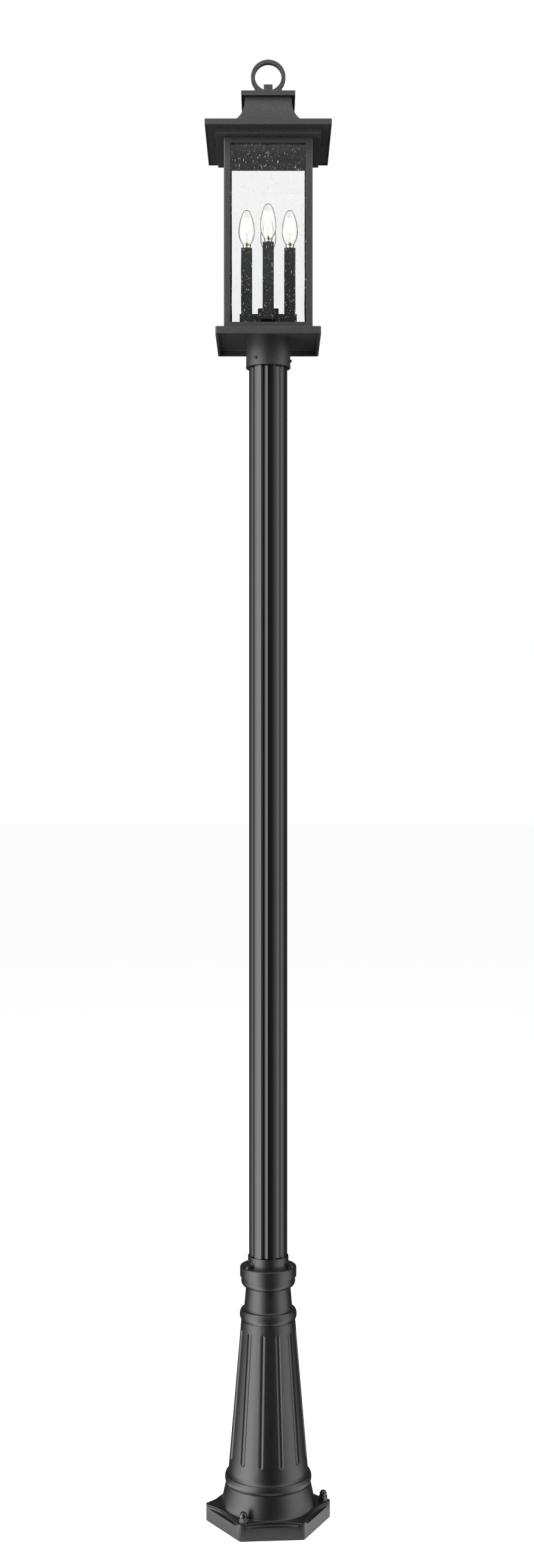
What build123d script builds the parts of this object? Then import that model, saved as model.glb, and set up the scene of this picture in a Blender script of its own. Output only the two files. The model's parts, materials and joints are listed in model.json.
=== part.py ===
"""A four-light post light: cast fluted base, fluted post, square lantern with candle lamps.

Millimetres, +Z up. The origin is on the ground at the centre of the foot, and the front of the
lantern faces -Y. Angles are measured from +X, anticlockwise seen from above.
"""
import os
from math import cos, radians, sin, sqrt

from build123d import *

os.makedirs("parts", exist_ok=True)

# Clearances
slip_gap = 0.3  # between a sleeve and what turns or slides in it, on the radius
screw_gap = 0.1  # between a screw and its hole, on the radius
seat_gap = 0.3  # under a piece that turns on its seat
blind_spare = 1.0  # how far a blind hole runs past its screw

# Post
post_diameter = 76.2
post_bore = 64.0
post_length = 1945.0
post_turn = -101.2  # one groove's direction
groove_count = 8
groove_width = 13.0
groove_step = 1.8
groove_ledge = 1.0
groove_hollow = 1.3

# Foot
foot_height = 32.0
foot_margin = 31.4  # from the flare's foot out to the hexagon's sharp corner
foot_corner = 8.0
base_turn = 4.0
scoop_depth = 9.0
scoop_end = 10.0
scoop_face = 25.6
scoop_cove = 4.0
scoop_step = 1.4
scoop_bead = 1.1
scoop_bead_sink = 0.4

# Heights of the base's mouldings, from the foot up
flare_height = 43.3
ring_notch = 1.5
ring_height = 16.2
ring_cove = 10.5
cone_height = 293.6
bead_notch = 1.5
bead_height = 19.8
neck_cove = 7.9
neck_height = 36.4
ovolo_height = 14.5
lip_groove = 7.3
lip_height = 20.2
lip_round = 3.6

# How far each moulding stands out from the one it grows from
neck_wall = 6.0
neck_taper = 3.2
lip_overhang = 11.8
lip_groove_depth = 2.7
ovolo_overhang = 9.4
bead_overhang = 9.3
bead_shoulder = 2.8
cone_top_overhang = 6.3
cone_spread = 25.0
ring_cove_overhang = 3.0
ring_overhang = 7.4
flare_setback = 2.1
flare_spread = 9.2
foot_fillet = 1.8
notch_depth = 1.2

# Base casting, inside
casting_wall = 7.0
socket_depth = 108.7
seat_ledge = 8.0
seat_width = 7.0

# Flutes of the cone
cone_flute_count = 12
cone_flute_width = 11.5
cone_flute_depth = 3.0
cone_flute_foot = 20.5
cone_flute_head = 16.1

# Anchors
anchor_count = 3
anchor_inset = 14.8
anchor_hole = 11.0
anchor_spot_gap = 0.5
anchor_spot_clear = 3.0
anchor_thread = 10.4
washer_diameter = 19.0
washer_thickness = 2.0
anchor_nut_flats = 16.0
anchor_nut_height = 8.5
anchor_nut_chamfer = 1.0
anchor_dome_diameter = 14.0
anchor_dome_wall = 2.2
anchor_dome_height = 4.0  # the dome's straight part

# Post socket on the lip
socket_height = 19.8
socket_wall = 1.85
socket_draft = 0.75
flange_height = 3.6
flange_width = 4.5
ear_radius = 6.2
ear_reach = 9.6
socket_turn = -24.0
socket_screw_diameter = 4.0
socket_screw_head = 7.4
socket_screw_head_height = 2.4
socket_screw_head_round = 0.8
socket_screw_slot = 1.0
socket_screw_length = 16.0
grip_screw_diameter = 5.0
grip_screw_head = 6.0
grip_screw_proud = 2.5
grip_screw_hex = 3.0
grip_screw_hex_depth = 1.8
grip_screw_tip_gap = 0.15
socket_grip_turn = -154.0
socket_grip_drop = 7.1

# Fitter under the lantern
fitter_height = 57.6
fitter_web = 7.6
fitter_wall = 4.8
fitter_draft = 1.05
fitter_grip_height = 13.7
fitter_grip_count = 3
fitter_grip_turn = -124.0

# Base plate
plate_height = 14.5
plate_skin = 3.0
plate_rim = 5.0
plate_overhang = 16.0
plate_corner = 3.0
plate_edge = 2.0

# Cage
cage_width = 173.0
cage_height = 371.7
bar_width = 12.5
bar_leg = 5.5
bar_round = 2.5
bottom_rail_height = 11.2
top_rail_height = 11.7
rail_seam = 0.4
glass_thickness = 3.0
glass_gap = 0.3
glass_lip = 0.5
clip_width = 12.0
clip_thickness = 1.0
clip_height = 9.0
clip_foot = 8.0
clip_spread = 90.0

# Crown frame
crown_overhang = 15.75
crown_height = 12.8
crown_seam = 0.6
crown_seam_inset = 1.0
crown_wall = 3.0
crown_ledge = 11.5  # how far it reaches in from the cage's face
crown_edge = 1.0

# Cross strap
strap_width = 16.0
strap_thickness = 3.0
strap_corner = 3.0
strap_bearing = 12.0
strap_screw_diameter = 4.0
strap_screw_head = 7.0
strap_screw_head_height = 2.0
strap_nut_flats = 12.0
strap_nut_height = 5.0

# Roof
brim_overhang = 20.25
brim_height = 10.9
brim_wall = 2.5
brim_flat = 13.3
brim_drop = 1.5
roof_cove = 62.9
roof_skin = 3.0
neck_straight = 14.3
pan_thickness = 2.0
pan_gap = 0.2
roof_screw_diameter = 3.0
roof_screw_head = 5.4
roof_screw_head_height = 1.4
roof_screw_inset = 14.0
roof_boss = 8.0

# Cap, finial plate, loop
cap_overhang = 6.8
cap_rim = 9.7
cap_rim_wall = 2.5
cap_skin = 2.5
cap_shoulder = 2.6
hip_rise = 6.3
hip_margin = 1.4
finial_plate_width = 56.6
finial_plate_thickness = 4.0
finial_plate_chamfer = 0.8
loop_block_width = 17.5
loop_block_height = 17.8
loop_radius = 34.4
loop_band = 7.9
loop_depth = 10.0
stud_diameter = 6.0
stud_grip = 9.0
stud_below_nut = 3.0
stud_chamfer = 0.8

# Lamp cluster
hub_width = 41.0
hub_height = 54.1
hub_wall = 3.0
hub_cover_thickness = 3.0
hub_cover_chamfer = 1.0
cluster_radius = 43.0
arm_width = 27.4
arm_height = 20.0
arm_wall = 3.5
arm_end = 2.7
arm_below_hub_top = 9.8
sleeve_width = 22.0
sleeve_height = 132.2
sleeve_wall = 1.3
sleeve_web = 2.0
nipple_diameter = 10.0
nipple_bore = 7.0
nipple_nut_flats = 16.0
nipple_nut_height = 4.0
nipple_end = 2.5
terminal_width = 18.0
terminal_height = 23.0
lead_diameter = 2.6
lead_bend = 8.0

# Lampholders and lamps
holder_diameter = 18.4
holder_height = 40.0
holder_stem_diameter = 10.0
holder_stem_bore = 5.0
contact_diameter = 5.0
contact_height = 1.0
lamp_thread_diameter = 11.9
lamp_thread_length = 24.0
lamp_tip_diameter = 5.0
skirt_diameter = 17.8
skirt_height = 8.5
lamp_diameter = 32.0
lamp_neck_diameter = 15.6
lamp_height = 68.9
lamp_belly = 25.0
lamp_crown_radius = 8.0
lamp_wall = 0.8
stem_diameter = 3.0
stem_foot_diameter = 11.0
stem_height = 21.0
filament_diameter = 1.8
filament_length = 32.0
filament_spread = 5.2
spider_thickness = 1.0

# Radii and levels worked out from the sizes above
post_radius = post_diameter / 2
socket_bore = post_radius + slip_gap
neck_radius = socket_bore + neck_wall
lip_radius = neck_radius + lip_overhang
neck_foot_radius = neck_radius + neck_taper
bead_radius = neck_foot_radius + bead_overhang
cone_top_radius = neck_foot_radius + cone_top_overhang
cone_foot_radius = cone_top_radius + cone_spread
ring_cove_radius = cone_foot_radius + ring_cove_overhang
ring_bead_radius = cone_foot_radius + ring_overhang
flare_top_radius = ring_bead_radius - flare_setback
flare_foot_radius = flare_top_radius + flare_spread
foot_radius = flare_foot_radius + foot_margin
foot_apothem = foot_radius * cos(radians(30))
anchor_radius = foot_radius - anchor_inset

flare_top = foot_height + flare_height
ring_foot = flare_top + ring_notch
ring_top = ring_foot + ring_height
cone_foot = ring_top + ring_cove
cone_top = cone_foot + cone_height
bead_foot = cone_top + bead_notch
bead_top = bead_foot + bead_height
neck_foot = bead_top + neck_cove
neck_top = neck_foot + neck_height
ovolo_top = neck_top + ovolo_height
lip_foot = ovolo_top + lip_groove
base_top = lip_foot + lip_height
post_seat = base_top - socket_depth
post_top = post_seat + post_length

fitter_top = post_top + seat_gap + fitter_web
fitter_foot = fitter_top - fitter_height
plate_top = fitter_top + plate_skin
plate_foot = plate_top - plate_height
crown_seat = plate_top + cage_height
crown_foot = crown_seat + crown_seam
crown_top = crown_foot + crown_height
crown_floor = crown_foot + crown_wall
brim_foot = crown_top - brim_drop
brim_top = brim_foot + brim_height
roof_neck_foot = brim_top + roof_cove
roof_neck_top = roof_neck_foot + neck_straight
cap_top = roof_neck_top + cap_skin
hip_top = cap_top + hip_rise
finial_seat = hip_top + finial_plate_thickness
loop_centre = finial_seat + loop_radius

cage_half = cage_width / 2
plate_half = cage_half + plate_overhang
crown_half = cage_half + crown_overhang
brim_half = crown_half + brim_overhang
roof_flank_half = brim_half - brim_flat
roof_neck_half = roof_flank_half - roof_cove
cap_half = roof_neck_half + cap_overhang
glass_face = cage_half - bar_leg - glass_gap
opening_half = cage_half - crown_ledge

hub_top = plate_top + hub_height
arm_top = hub_top - arm_below_hub_top
arm_middle = arm_top - arm_height / 2
sleeve_top = arm_top + sleeve_height
holder_top = sleeve_top - sleeve_web
holder_foot = holder_top - holder_height
skirt_foot = sleeve_top + seat_gap
skirt_top = skirt_foot + skirt_height
lamp_thread_foot = skirt_foot - lamp_thread_length
socket_floor = lamp_thread_foot - seat_gap - contact_height
stud_foot = crown_floor - strap_nut_height - stud_below_nut
stud_top = finial_seat + stud_grip

SIDES = {"right": 0, "back": 90, "left": 180, "front": 270}
DIAGONAL = cos(radians(45))


def around(radius, angle, height=0.0):
    """The point at a radius, direction and height about the object's axis."""
    return Vector(radius * cos(radians(angle)), radius * sin(radians(angle)), height)


def upright(centre):
    """The plane of a half section about a vertical axis through a point."""
    return Plane(origin=(centre.X, centre.Y, 0), x_dir=(1, 0, 0), z_dir=(0, -1, 0))


def quarter(start, end):
    """A quarter round that leaves its start level and reaches its end upright."""
    middle = (
        start[0] + (end[0] - start[0]) * DIAGONAL,
        end[1] - (end[1] - start[1]) * DIAGONAL,
    )
    ThreePointArc(start, middle, end)


def half_round(radius, bulge, low, high):
    """A half-round bead between two levels."""
    ThreePointArc((radius, low), (bulge, (low + high) / 2), (radius, high))


def hexagon_corner(flats):
    """A hexagon's corner radius from its width across flats."""
    return flats / sqrt(3)


# Base casting. A hollow cast column foot, open below: hexagonal foot with a lens-shaped scoop
# and a bead along each upper edge, flare, ring bead, fluted cone, half-round bead, plain neck
# and the lip that carries the socket.
scoop_side = foot_radius / 2 - scoop_end
scoop_radius = (scoop_side**2 + scoop_depth**2) / (2 * scoop_depth)
scoop_centre = foot_apothem - scoop_depth + scoop_radius
scoop_reach = scoop_radius - 2 * scoop_depth
cone_slant = Vector(-cone_spread, 0, cone_height).normalized()
cone_outward = Vector(cone_height, 0, cone_spread).normalized()
flute_radius = cone_flute_width**2 / (8 * cone_flute_depth) + cone_flute_depth / 2
flute_run = sqrt(cone_height**2 + cone_spread**2) - cone_flute_foot - cone_flute_head - cone_flute_width
flute_start = (
    Vector(cone_foot_radius, 0, cone_foot)
    + cone_slant * (cone_flute_foot + cone_flute_width / 2)
    + cone_outward * (flute_radius - cone_flute_depth)
)
socket_screw_radius = socket_bore + ear_reach

with BuildPart() as cone_flute:
    with BuildSketch(Plane(origin=flute_start, z_dir=cone_slant)):
        Circle(flute_radius)
    extrude(amount=flute_run)
    with Locations(flute_start, flute_start + cone_slant * flute_run):
        Sphere(flute_radius)

with BuildPart() as foot_scoop:
    with BuildSketch(upright(Vector(scoop_centre, 0, 0))):
        with BuildLine():
            Polyline(
                (-scoop_reach, scoop_face),
                (-scoop_radius + scoop_cove, scoop_face),
            )
            quarter(
                (-scoop_radius + scoop_cove, scoop_face),
                (-scoop_radius, scoop_face + scoop_cove),
            )
            Polyline(
                (-scoop_radius, scoop_face + scoop_cove),
                (-scoop_radius - scoop_step, scoop_face + scoop_cove),
                (-scoop_radius - scoop_step, foot_height + scoop_bead),
                (-scoop_reach, foot_height + scoop_bead),
                (-scoop_reach, scoop_face),
            )
        make_face()
    revolve(axis=Axis((scoop_centre, 0, 0), (0, 0, 1)))

with BuildPart() as foot_bead:
    with BuildSketch(upright(Vector(scoop_centre, 0, 0))):
        with Locations((-scoop_radius - scoop_step - scoop_bead, foot_height - scoop_bead_sink)):
            Circle(scoop_bead)
    revolve(axis=Axis((scoop_centre, 0, 0), (0, 0, 1)))
    with BuildSketch(Plane.XY):
        RegularPolygon(foot_radius, 6, rotation=30)
        fillet(vertices(), radius=foot_corner)
    extrude(amount=2 * foot_height, mode=Mode.INTERSECT)

with BuildPart() as base_casting:
    with BuildSketch(Plane.XZ):
        with BuildLine():
            Polyline((0, 0), (flare_foot_radius, 0), (flare_foot_radius, foot_height))
            Line((flare_foot_radius, foot_height), (flare_foot_radius + foot_fillet, foot_height))
            quarter(
                (flare_foot_radius + foot_fillet, foot_height),
                (flare_foot_radius, foot_height + foot_fillet),
            )
            Polyline(
                (flare_foot_radius, foot_height + foot_fillet),
                (flare_top_radius, flare_top),
                (flare_top_radius - notch_depth, flare_top),
                (flare_top_radius - notch_depth, ring_foot),
                (flare_top_radius, ring_foot),
            )
            half_round(flare_top_radius, ring_bead_radius, ring_foot, ring_top)
            Line((flare_top_radius, ring_top), (ring_cove_radius, ring_top))
            quarter((ring_cove_radius, ring_top), (cone_foot_radius, cone_foot))
            Polyline(
                (cone_foot_radius, cone_foot),
                (cone_top_radius, cone_top),
                (cone_top_radius - notch_depth, cone_top),
                (cone_top_radius - notch_depth, bead_foot),
                (cone_top_radius, bead_foot),
            )
            half_round(cone_top_radius, bead_radius, bead_foot, bead_top)
            Line((cone_top_radius, bead_top), (cone_top_radius - bead_shoulder, bead_top))
            quarter((cone_top_radius - bead_shoulder, bead_top), (neck_foot_radius, neck_foot))
            Line((neck_foot_radius, neck_foot), (neck_radius, neck_top))
            quarter((neck_radius, neck_top), (neck_radius + ovolo_overhang, ovolo_top))
            Polyline(
                (neck_radius + ovolo_overhang, ovolo_top),
                (lip_radius - lip_groove_depth, ovolo_top),
                (lip_radius - lip_groove_depth, lip_foot),
                (lip_radius, lip_foot),
                (lip_radius, base_top - lip_round),
            )
            ThreePointArc(
                (lip_radius, base_top - lip_round),
                (lip_radius - lip_round * (1 - DIAGONAL), base_top - lip_round * (1 - DIAGONAL)),
                (lip_radius - lip_round, base_top),
            )
            Polyline((lip_radius - lip_round, base_top), (0, base_top), (0, 0))
        make_face()
    revolve(axis=Axis.Z)
    with BuildSketch(Plane.XY):
        RegularPolygon(foot_radius, 6, rotation=base_turn)
        fillet(vertices(), radius=foot_corner)
    extrude(amount=foot_height)
    with PolarLocations(0, 6, start_angle=base_turn + 30):
        add(foot_bead.part)
        add(foot_scoop.part, mode=Mode.SUBTRACT)
    with PolarLocations(0, cone_flute_count, start_angle=base_turn + 180 / cone_flute_count):
        add(cone_flute.part, mode=Mode.SUBTRACT)
    with BuildSketch(Plane.XZ):
        with BuildLine():
            Polyline(
                (0, 0),
                (flare_foot_radius - casting_wall, 0),
                (flare_foot_radius - casting_wall, foot_height),
                (flare_top_radius - casting_wall, flare_top),
                (cone_foot_radius - casting_wall, cone_foot),
                (cone_top_radius - casting_wall, post_seat - seat_ledge),
                (socket_bore - seat_width, post_seat - seat_ledge),
                (socket_bore - seat_width, post_seat),
                (socket_bore, post_seat),
                (socket_bore, base_top),
                (0, base_top),
                (0, 0),
            )
        make_face()
    revolve(axis=Axis.Z, mode=Mode.SUBTRACT)
    with BuildSketch(Plane.XY):
        with PolarLocations(anchor_radius, anchor_count, start_angle=base_turn):
            Circle(anchor_hole / 2)
    extrude(amount=foot_height, mode=Mode.SUBTRACT)
    with BuildSketch(Plane.XY.offset(foot_height)):
        with PolarLocations(anchor_radius, anchor_count, start_angle=base_turn):
            Circle(washer_diameter / 2 + anchor_spot_gap)
    extrude(amount=anchor_spot_clear, mode=Mode.SUBTRACT)
    with BuildSketch(Plane.XY.offset(base_top)):
        with PolarLocations(socket_screw_radius, 3, start_angle=socket_turn):
            Circle(socket_screw_diameter / 2 + screw_gap)
    extrude(amount=-(socket_screw_length - flange_height + blind_spare), mode=Mode.SUBTRACT)
base_casting.part.label = "base_casting"
export_step(base_casting.part, "parts/base_casting.step")

# Anchor washers and domed nuts, which clamp the foot to the studs set in the ground.
washer_top = foot_height + washer_thickness
nut_top = washer_top + anchor_nut_height
dome_radius = anchor_dome_diameter / 2

with BuildPart() as anchor_washers:
    with BuildSketch(Plane.XY.offset(foot_height)):
        with PolarLocations(anchor_radius, anchor_count, start_angle=base_turn):
            Circle(washer_diameter / 2)
            Circle(anchor_hole / 2, mode=Mode.SUBTRACT)
    extrude(amount=washer_thickness)
anchor_washers.part.label = "anchor_washers"
export_step(anchor_washers.part, "parts/anchor_washers.step")

with BuildPart() as domed_nut:
    with BuildSketch(Plane.XY):
        RegularPolygon(hexagon_corner(anchor_nut_flats), 6)
    extrude(amount=anchor_nut_height)
    chamfer(edges().group_by(Axis.Z)[-1], length=anchor_nut_chamfer)
    with BuildSketch(Plane.XY):
        Circle(dome_radius)
    extrude(amount=anchor_nut_height + anchor_dome_height)
    with Locations((0, 0, anchor_nut_height + anchor_dome_height)):
        Sphere(dome_radius)
    with BuildSketch(Plane.XY):
        Circle(anchor_thread / 2)
    extrude(amount=anchor_nut_height + anchor_dome_height + anchor_dome_wall, mode=Mode.SUBTRACT)

with BuildPart() as anchor_nuts:
    with PolarLocations(anchor_radius, anchor_count, start_angle=base_turn):
        add(Location((0, 0, washer_top)) * domed_nut.part)
anchor_nuts.part.label = "anchor_nuts"
export_step(anchor_nuts.part, "parts/anchor_nuts.step")


def grip_screw(surface_radius, tip_radius):
    """One socket screw along +X: its head proud of a collar and its tip short of the post."""
    with BuildPart() as screw:
        with BuildSketch(Plane.YZ.offset(tip_radius)):
            Circle(grip_screw_diameter / 2)
        extrude(amount=surface_radius - tip_radius)
        with BuildSketch(Plane.YZ.offset(surface_radius)):
            Circle(grip_screw_head / 2)
        extrude(amount=grip_screw_proud)
        with BuildSketch(Plane.YZ.offset(surface_radius + grip_screw_proud)):
            RegularPolygon(hexagon_corner(grip_screw_hex), 6)
        extrude(amount=-grip_screw_hex_depth, mode=Mode.SUBTRACT)
    return screw.part


def grip_hole(radius):
    """The hole that a grip screw along +X needs in a collar of that outer radius."""
    with BuildPart() as hole:
        with BuildSketch(Plane.YZ):
            Circle(grip_screw_diameter / 2 + screw_gap)
        extrude(amount=radius)
    return hole.part


# Post socket. A turned collar with a flange of three ears, screwed down on the lip.
socket_radius = socket_bore + socket_wall
socket_top = base_top + socket_height
socket_grip_level = socket_top - socket_grip_drop
grip_tip = post_radius + grip_screw_tip_gap

with BuildPart() as post_socket:
    with BuildSketch(Plane.XY.offset(base_top)):
        Circle(socket_bore + flange_width)
        with PolarLocations(socket_screw_radius, 3, start_angle=socket_turn):
            Circle(ear_radius)
    extrude(amount=flange_height)
    with BuildSketch(Plane.XZ):
        with BuildLine():
            Polyline(
                (0, base_top),
                (socket_radius + socket_draft, base_top),
                (socket_radius, socket_top),
                (0, socket_top),
                (0, base_top),
            )
        make_face()
    revolve(axis=Axis.Z)
    with BuildSketch(Plane.XY.offset(base_top)):
        Circle(socket_bore)
    extrude(amount=socket_height, mode=Mode.SUBTRACT)
    with BuildSketch(Plane.XY.offset(base_top)):
        with PolarLocations(socket_screw_radius, 3, start_angle=socket_turn):
            Circle(socket_screw_diameter / 2 + screw_gap)
    extrude(amount=flange_height, mode=Mode.SUBTRACT)
    with PolarLocations(0, 2, start_angle=socket_grip_turn):
        add(
            Location((0, 0, socket_grip_level)) * grip_hole(2 * socket_radius),
            mode=Mode.SUBTRACT,
        )
post_socket.part.label = "post_socket"
export_step(post_socket.part, "parts/post_socket.step")

with BuildPart() as socket_screws:
    with BuildSketch(Plane.XY.offset(base_top + flange_height)):
        with PolarLocations(socket_screw_radius, 3, start_angle=socket_turn):
            Circle(socket_screw_head / 2)
    extrude(amount=socket_screw_head_height)
    fillet(faces().sort_by(Axis.Z)[-3:].edges(), radius=socket_screw_head_round)
    with BuildSketch(Plane.XY.offset(base_top + flange_height)):
        with PolarLocations(socket_screw_radius, 3, start_angle=socket_turn):
            Circle(socket_screw_diameter / 2)
    extrude(amount=-socket_screw_length)
    with BuildSketch(Plane.XY.offset(base_top + flange_height + socket_screw_head_height)):
        with PolarLocations(socket_screw_radius, 3, start_angle=socket_turn):
            Rectangle(socket_screw_slot, 2 * socket_screw_head)
    extrude(amount=-socket_screw_head_height / 2, mode=Mode.SUBTRACT)
socket_screws.part.label = "socket_screws"
export_step(socket_screws.part, "parts/socket_screws.step")

with BuildPart() as socket_set_screws:
    with PolarLocations(0, 2, start_angle=socket_grip_turn):
        add(Location((0, 0, socket_grip_level)) * grip_screw(socket_radius + socket_draft, grip_tip))
socket_set_screws.part.label = "socket_set_screws"
export_step(socket_set_screws.part, "parts/socket_set_screws.step")

# Post tube. An extrusion with eight stepped grooves and a round cable way, standing on the ledge.
groove_half = groove_width / 2
groove_floor_radius = post_radius - groove_step

with BuildSketch() as post_groove:
    with BuildLine():
        Polyline(
            (post_radius + groove_step, -groove_half),
            (groove_floor_radius, -groove_half),
            (groove_floor_radius, groove_ledge - groove_half),
        )
        ThreePointArc(
            (groove_floor_radius, groove_ledge - groove_half),
            (groove_floor_radius - groove_hollow, 0),
            (groove_floor_radius, groove_half - groove_ledge),
        )
        Polyline(
            (groove_floor_radius, groove_half - groove_ledge),
            (groove_floor_radius, groove_half),
            (post_radius + groove_step, groove_half),
            (post_radius + groove_step, -groove_half),
        )
    make_face()

with BuildPart() as post_tube:
    with BuildSketch(Plane.XY.offset(post_seat)):
        Circle(post_radius)
        Circle(post_bore / 2, mode=Mode.SUBTRACT)
        with PolarLocations(0, groove_count, start_angle=post_turn):
            add(post_groove.sketch, mode=Mode.SUBTRACT)
    extrude(amount=post_length)
post_tube.part.label = "post_tube"
export_step(post_tube.part, "parts/post_tube.step")

# Post fitter. A cup fixed under the lantern's plate, which slips over the post and is clamped.
fitter_radius = socket_bore + fitter_wall
fitter_grip_level = fitter_foot + fitter_grip_height
nipple_radius = nipple_diameter / 2

with BuildPart() as post_fitter:
    with BuildSketch(Plane.XZ):
        with BuildLine():
            Polyline(
                (nipple_radius + screw_gap, fitter_top - fitter_web),
                (socket_bore, fitter_top - fitter_web),
                (socket_bore, fitter_foot),
                (fitter_radius + fitter_draft, fitter_foot),
                (fitter_radius, fitter_top),
                (nipple_radius + screw_gap, fitter_top),
                (nipple_radius + screw_gap, fitter_top - fitter_web),
            )
        make_face()
    revolve(axis=Axis.Z)
    with PolarLocations(0, fitter_grip_count, start_angle=fitter_grip_turn):
        add(
            Location((0, 0, fitter_grip_level)) * grip_hole(2 * fitter_radius),
            mode=Mode.SUBTRACT,
        )
post_fitter.part.label = "post_fitter"
export_step(post_fitter.part, "parts/post_fitter.step")

with BuildPart() as fitter_set_screws:
    with PolarLocations(0, fitter_grip_count, start_angle=fitter_grip_turn):
        add(Location((0, 0, fitter_grip_level)) * grip_screw(fitter_radius + fitter_draft, grip_tip))
fitter_set_screws.part.label = "fitter_set_screws"
export_step(fitter_set_screws.part, "parts/fitter_set_screws.step")

# Base plate. A square cast tray, open below, with rounded corners.
with BuildPart() as base_plate:
    with BuildSketch(Plane.XY.offset(plate_foot)):
        Rectangle(2 * plate_half, 2 * plate_half)
        fillet(vertices(), radius=plate_corner)
    extrude(amount=plate_height)
    fillet(edges().group_by(Axis.Z)[-1], radius=plate_edge)
    with BuildSketch(Plane.XY.offset(plate_foot)):
        Rectangle(2 * (plate_half - plate_rim), 2 * (plate_half - plate_rim))
    extrude(amount=plate_height - plate_skin, mode=Mode.SUBTRACT)
    with BuildSketch(Plane.XY.offset(plate_foot)):
        Circle(nipple_radius + screw_gap)
    extrude(amount=plate_height, mode=Mode.SUBTRACT)
base_plate.part.label = "base_plate"
export_step(base_plate.part, "parts/base_plate.step")

# Cable nipple and its lock nuts, which clamp fitter, plate and hub together.
lower_nut_top = fitter_top - fitter_web
upper_nut_foot = plate_top + hub_wall
nipple_foot = lower_nut_top - nipple_nut_height - nipple_end
nipple_top = upper_nut_foot + nipple_nut_height + nipple_end

with BuildPart() as cable_nipple:
    with BuildSketch(Plane.XY.offset(nipple_foot)):
        Circle(nipple_radius)
        Circle(nipple_bore / 2, mode=Mode.SUBTRACT)
    extrude(amount=nipple_top - nipple_foot)
cable_nipple.part.label = "cable_nipple"
export_step(cable_nipple.part, "parts/cable_nipple.step")

with BuildPart() as nipple_nuts:
    for nut_foot in (lower_nut_top - nipple_nut_height, upper_nut_foot):
        with BuildSketch(Plane.XY.offset(nut_foot)):
            RegularPolygon(hexagon_corner(nipple_nut_flats), 6)
            Circle(nipple_radius + screw_gap, mode=Mode.SUBTRACT)
        extrude(amount=nipple_nut_height)
nipple_nuts.part.label = "nipple_nuts"
export_step(nipple_nuts.part, "parts/nipple_nuts.step")

# Cage. Four corner bars with a rebate on the inside, and rails between them above and below.
bar_centre = cage_half - bar_width / 2
rail_length = cage_width - 2 * bar_width
rail_centre = cage_half - bar_leg / 2

with BuildPart() as corner_posts:
    for toward_x, toward_y in ((1, 1), (-1, 1), (-1, -1), (1, -1)):
        with BuildSketch(Plane.XY.offset(plate_top)):
            with Locations((toward_x * bar_centre, toward_y * bar_centre)):
                Rectangle(bar_width, bar_width)
            outer = vertices().sort_by_distance((toward_x * cage_half, toward_y * cage_half))[0]
            fillet(outer, radius=bar_round)
            inner = cage_half - bar_leg - bar_width / 2
            with Locations((toward_x * inner, toward_y * inner)):
                Rectangle(bar_width, bar_width, mode=Mode.SUBTRACT)
        extrude(amount=cage_height)
corner_posts.part.label = "corner_posts"
export_step(corner_posts.part, "parts/corner_posts.step")

with BuildPart() as bottom_rails:
    with BuildSketch(Plane.XY.offset(plate_top + rail_seam)):
        with PolarLocations(rail_centre, 4):
            Rectangle(bar_leg, rail_length)
    extrude(amount=bottom_rail_height)
bottom_rails.part.label = "bottom_rails"
export_step(bottom_rails.part, "parts/bottom_rails.step")

with BuildPart() as top_rails:
    with BuildSketch(Plane.XY.offset(crown_seat)):
        with PolarLocations(rail_centre, 4):
            Rectangle(bar_leg, rail_length)
    extrude(amount=-top_rail_height)
top_rails.part.label = "top_rails"
export_step(top_rails.part, "parts/top_rails.step")

# Glass. Four panes of clear seeded glass, which stand on the plate in the bars' rebates.
glass_width = 2 * (glass_face - glass_thickness - glass_lip)

for side, angle in SIDES.items():
    with BuildPart() as glass:
        with BuildSketch(Plane.XY.offset(plate_top + glass_gap)):
            with PolarLocations(glass_face - glass_thickness / 2, 1, start_angle=angle):
                Rectangle(glass_thickness, glass_width)
        extrude(amount=cage_height - 2 * glass_gap)
    glass.part.label = f"glass_{side}"
    export_step(glass.part, f"parts/glass_{side}.step")

# Glass clips. Bent tabs behind the panes, two on the plate and two under the crown on each side.
clip_face = glass_face - glass_thickness - glass_gap

with BuildPart() as glass_clips:
    for clip_level, upward in ((plate_top, 1), (crown_seat, -1)):
        for offset in (-clip_spread / 2, clip_spread / 2):
            with BuildSketch(Plane.XY.offset(clip_level)):
                with PolarLocations(0, 4):
                    with Locations((clip_face - clip_thickness / 2, offset)):
                        Rectangle(clip_thickness, clip_width)
            extrude(amount=upward * clip_height)
            with BuildSketch(Plane.XY.offset(clip_level)):
                with PolarLocations(0, 4):
                    with Locations((clip_face - clip_foot / 2, offset)):
                        Rectangle(clip_foot, clip_width)
            extrude(amount=upward * clip_thickness)
glass_clips.part.label = "glass_clips"
export_step(glass_clips.part, "parts/glass_clips.step")

# Crown frame. A square tray that caps the cage, open in the middle for changing the lamps.
crown_seam_half = cage_half - crown_seam_inset

with BuildPart() as crown_frame:
    with BuildSketch(Plane.XY.offset(crown_foot)):
        Rectangle(2 * crown_half, 2 * crown_half)
    extrude(amount=crown_height)
    fillet(edges().group_by(Axis.Z)[0], radius=crown_edge)
    with BuildSketch(Plane.XY.offset(crown_floor)):
        Rectangle(2 * (crown_half - crown_wall), 2 * (crown_half - crown_wall))
    extrude(amount=crown_height, mode=Mode.SUBTRACT)
    with BuildSketch(Plane.XY.offset(crown_seat)):
        Rectangle(2 * crown_seam_half, 2 * crown_seam_half)
    extrude(amount=crown_seam)
    with BuildSketch(Plane.XY.offset(crown_seat)):
        Rectangle(2 * opening_half, 2 * opening_half)
    extrude(amount=crown_height, mode=Mode.SUBTRACT)
    with BuildSketch(Plane.XY.offset(crown_seat)):
        with PolarLocations(opening_half + strap_bearing / 2, 2):
            Circle(strap_screw_diameter / 2 + screw_gap)
    extrude(amount=crown_height, mode=Mode.SUBTRACT)
crown_frame.part.label = "crown_frame"
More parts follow.
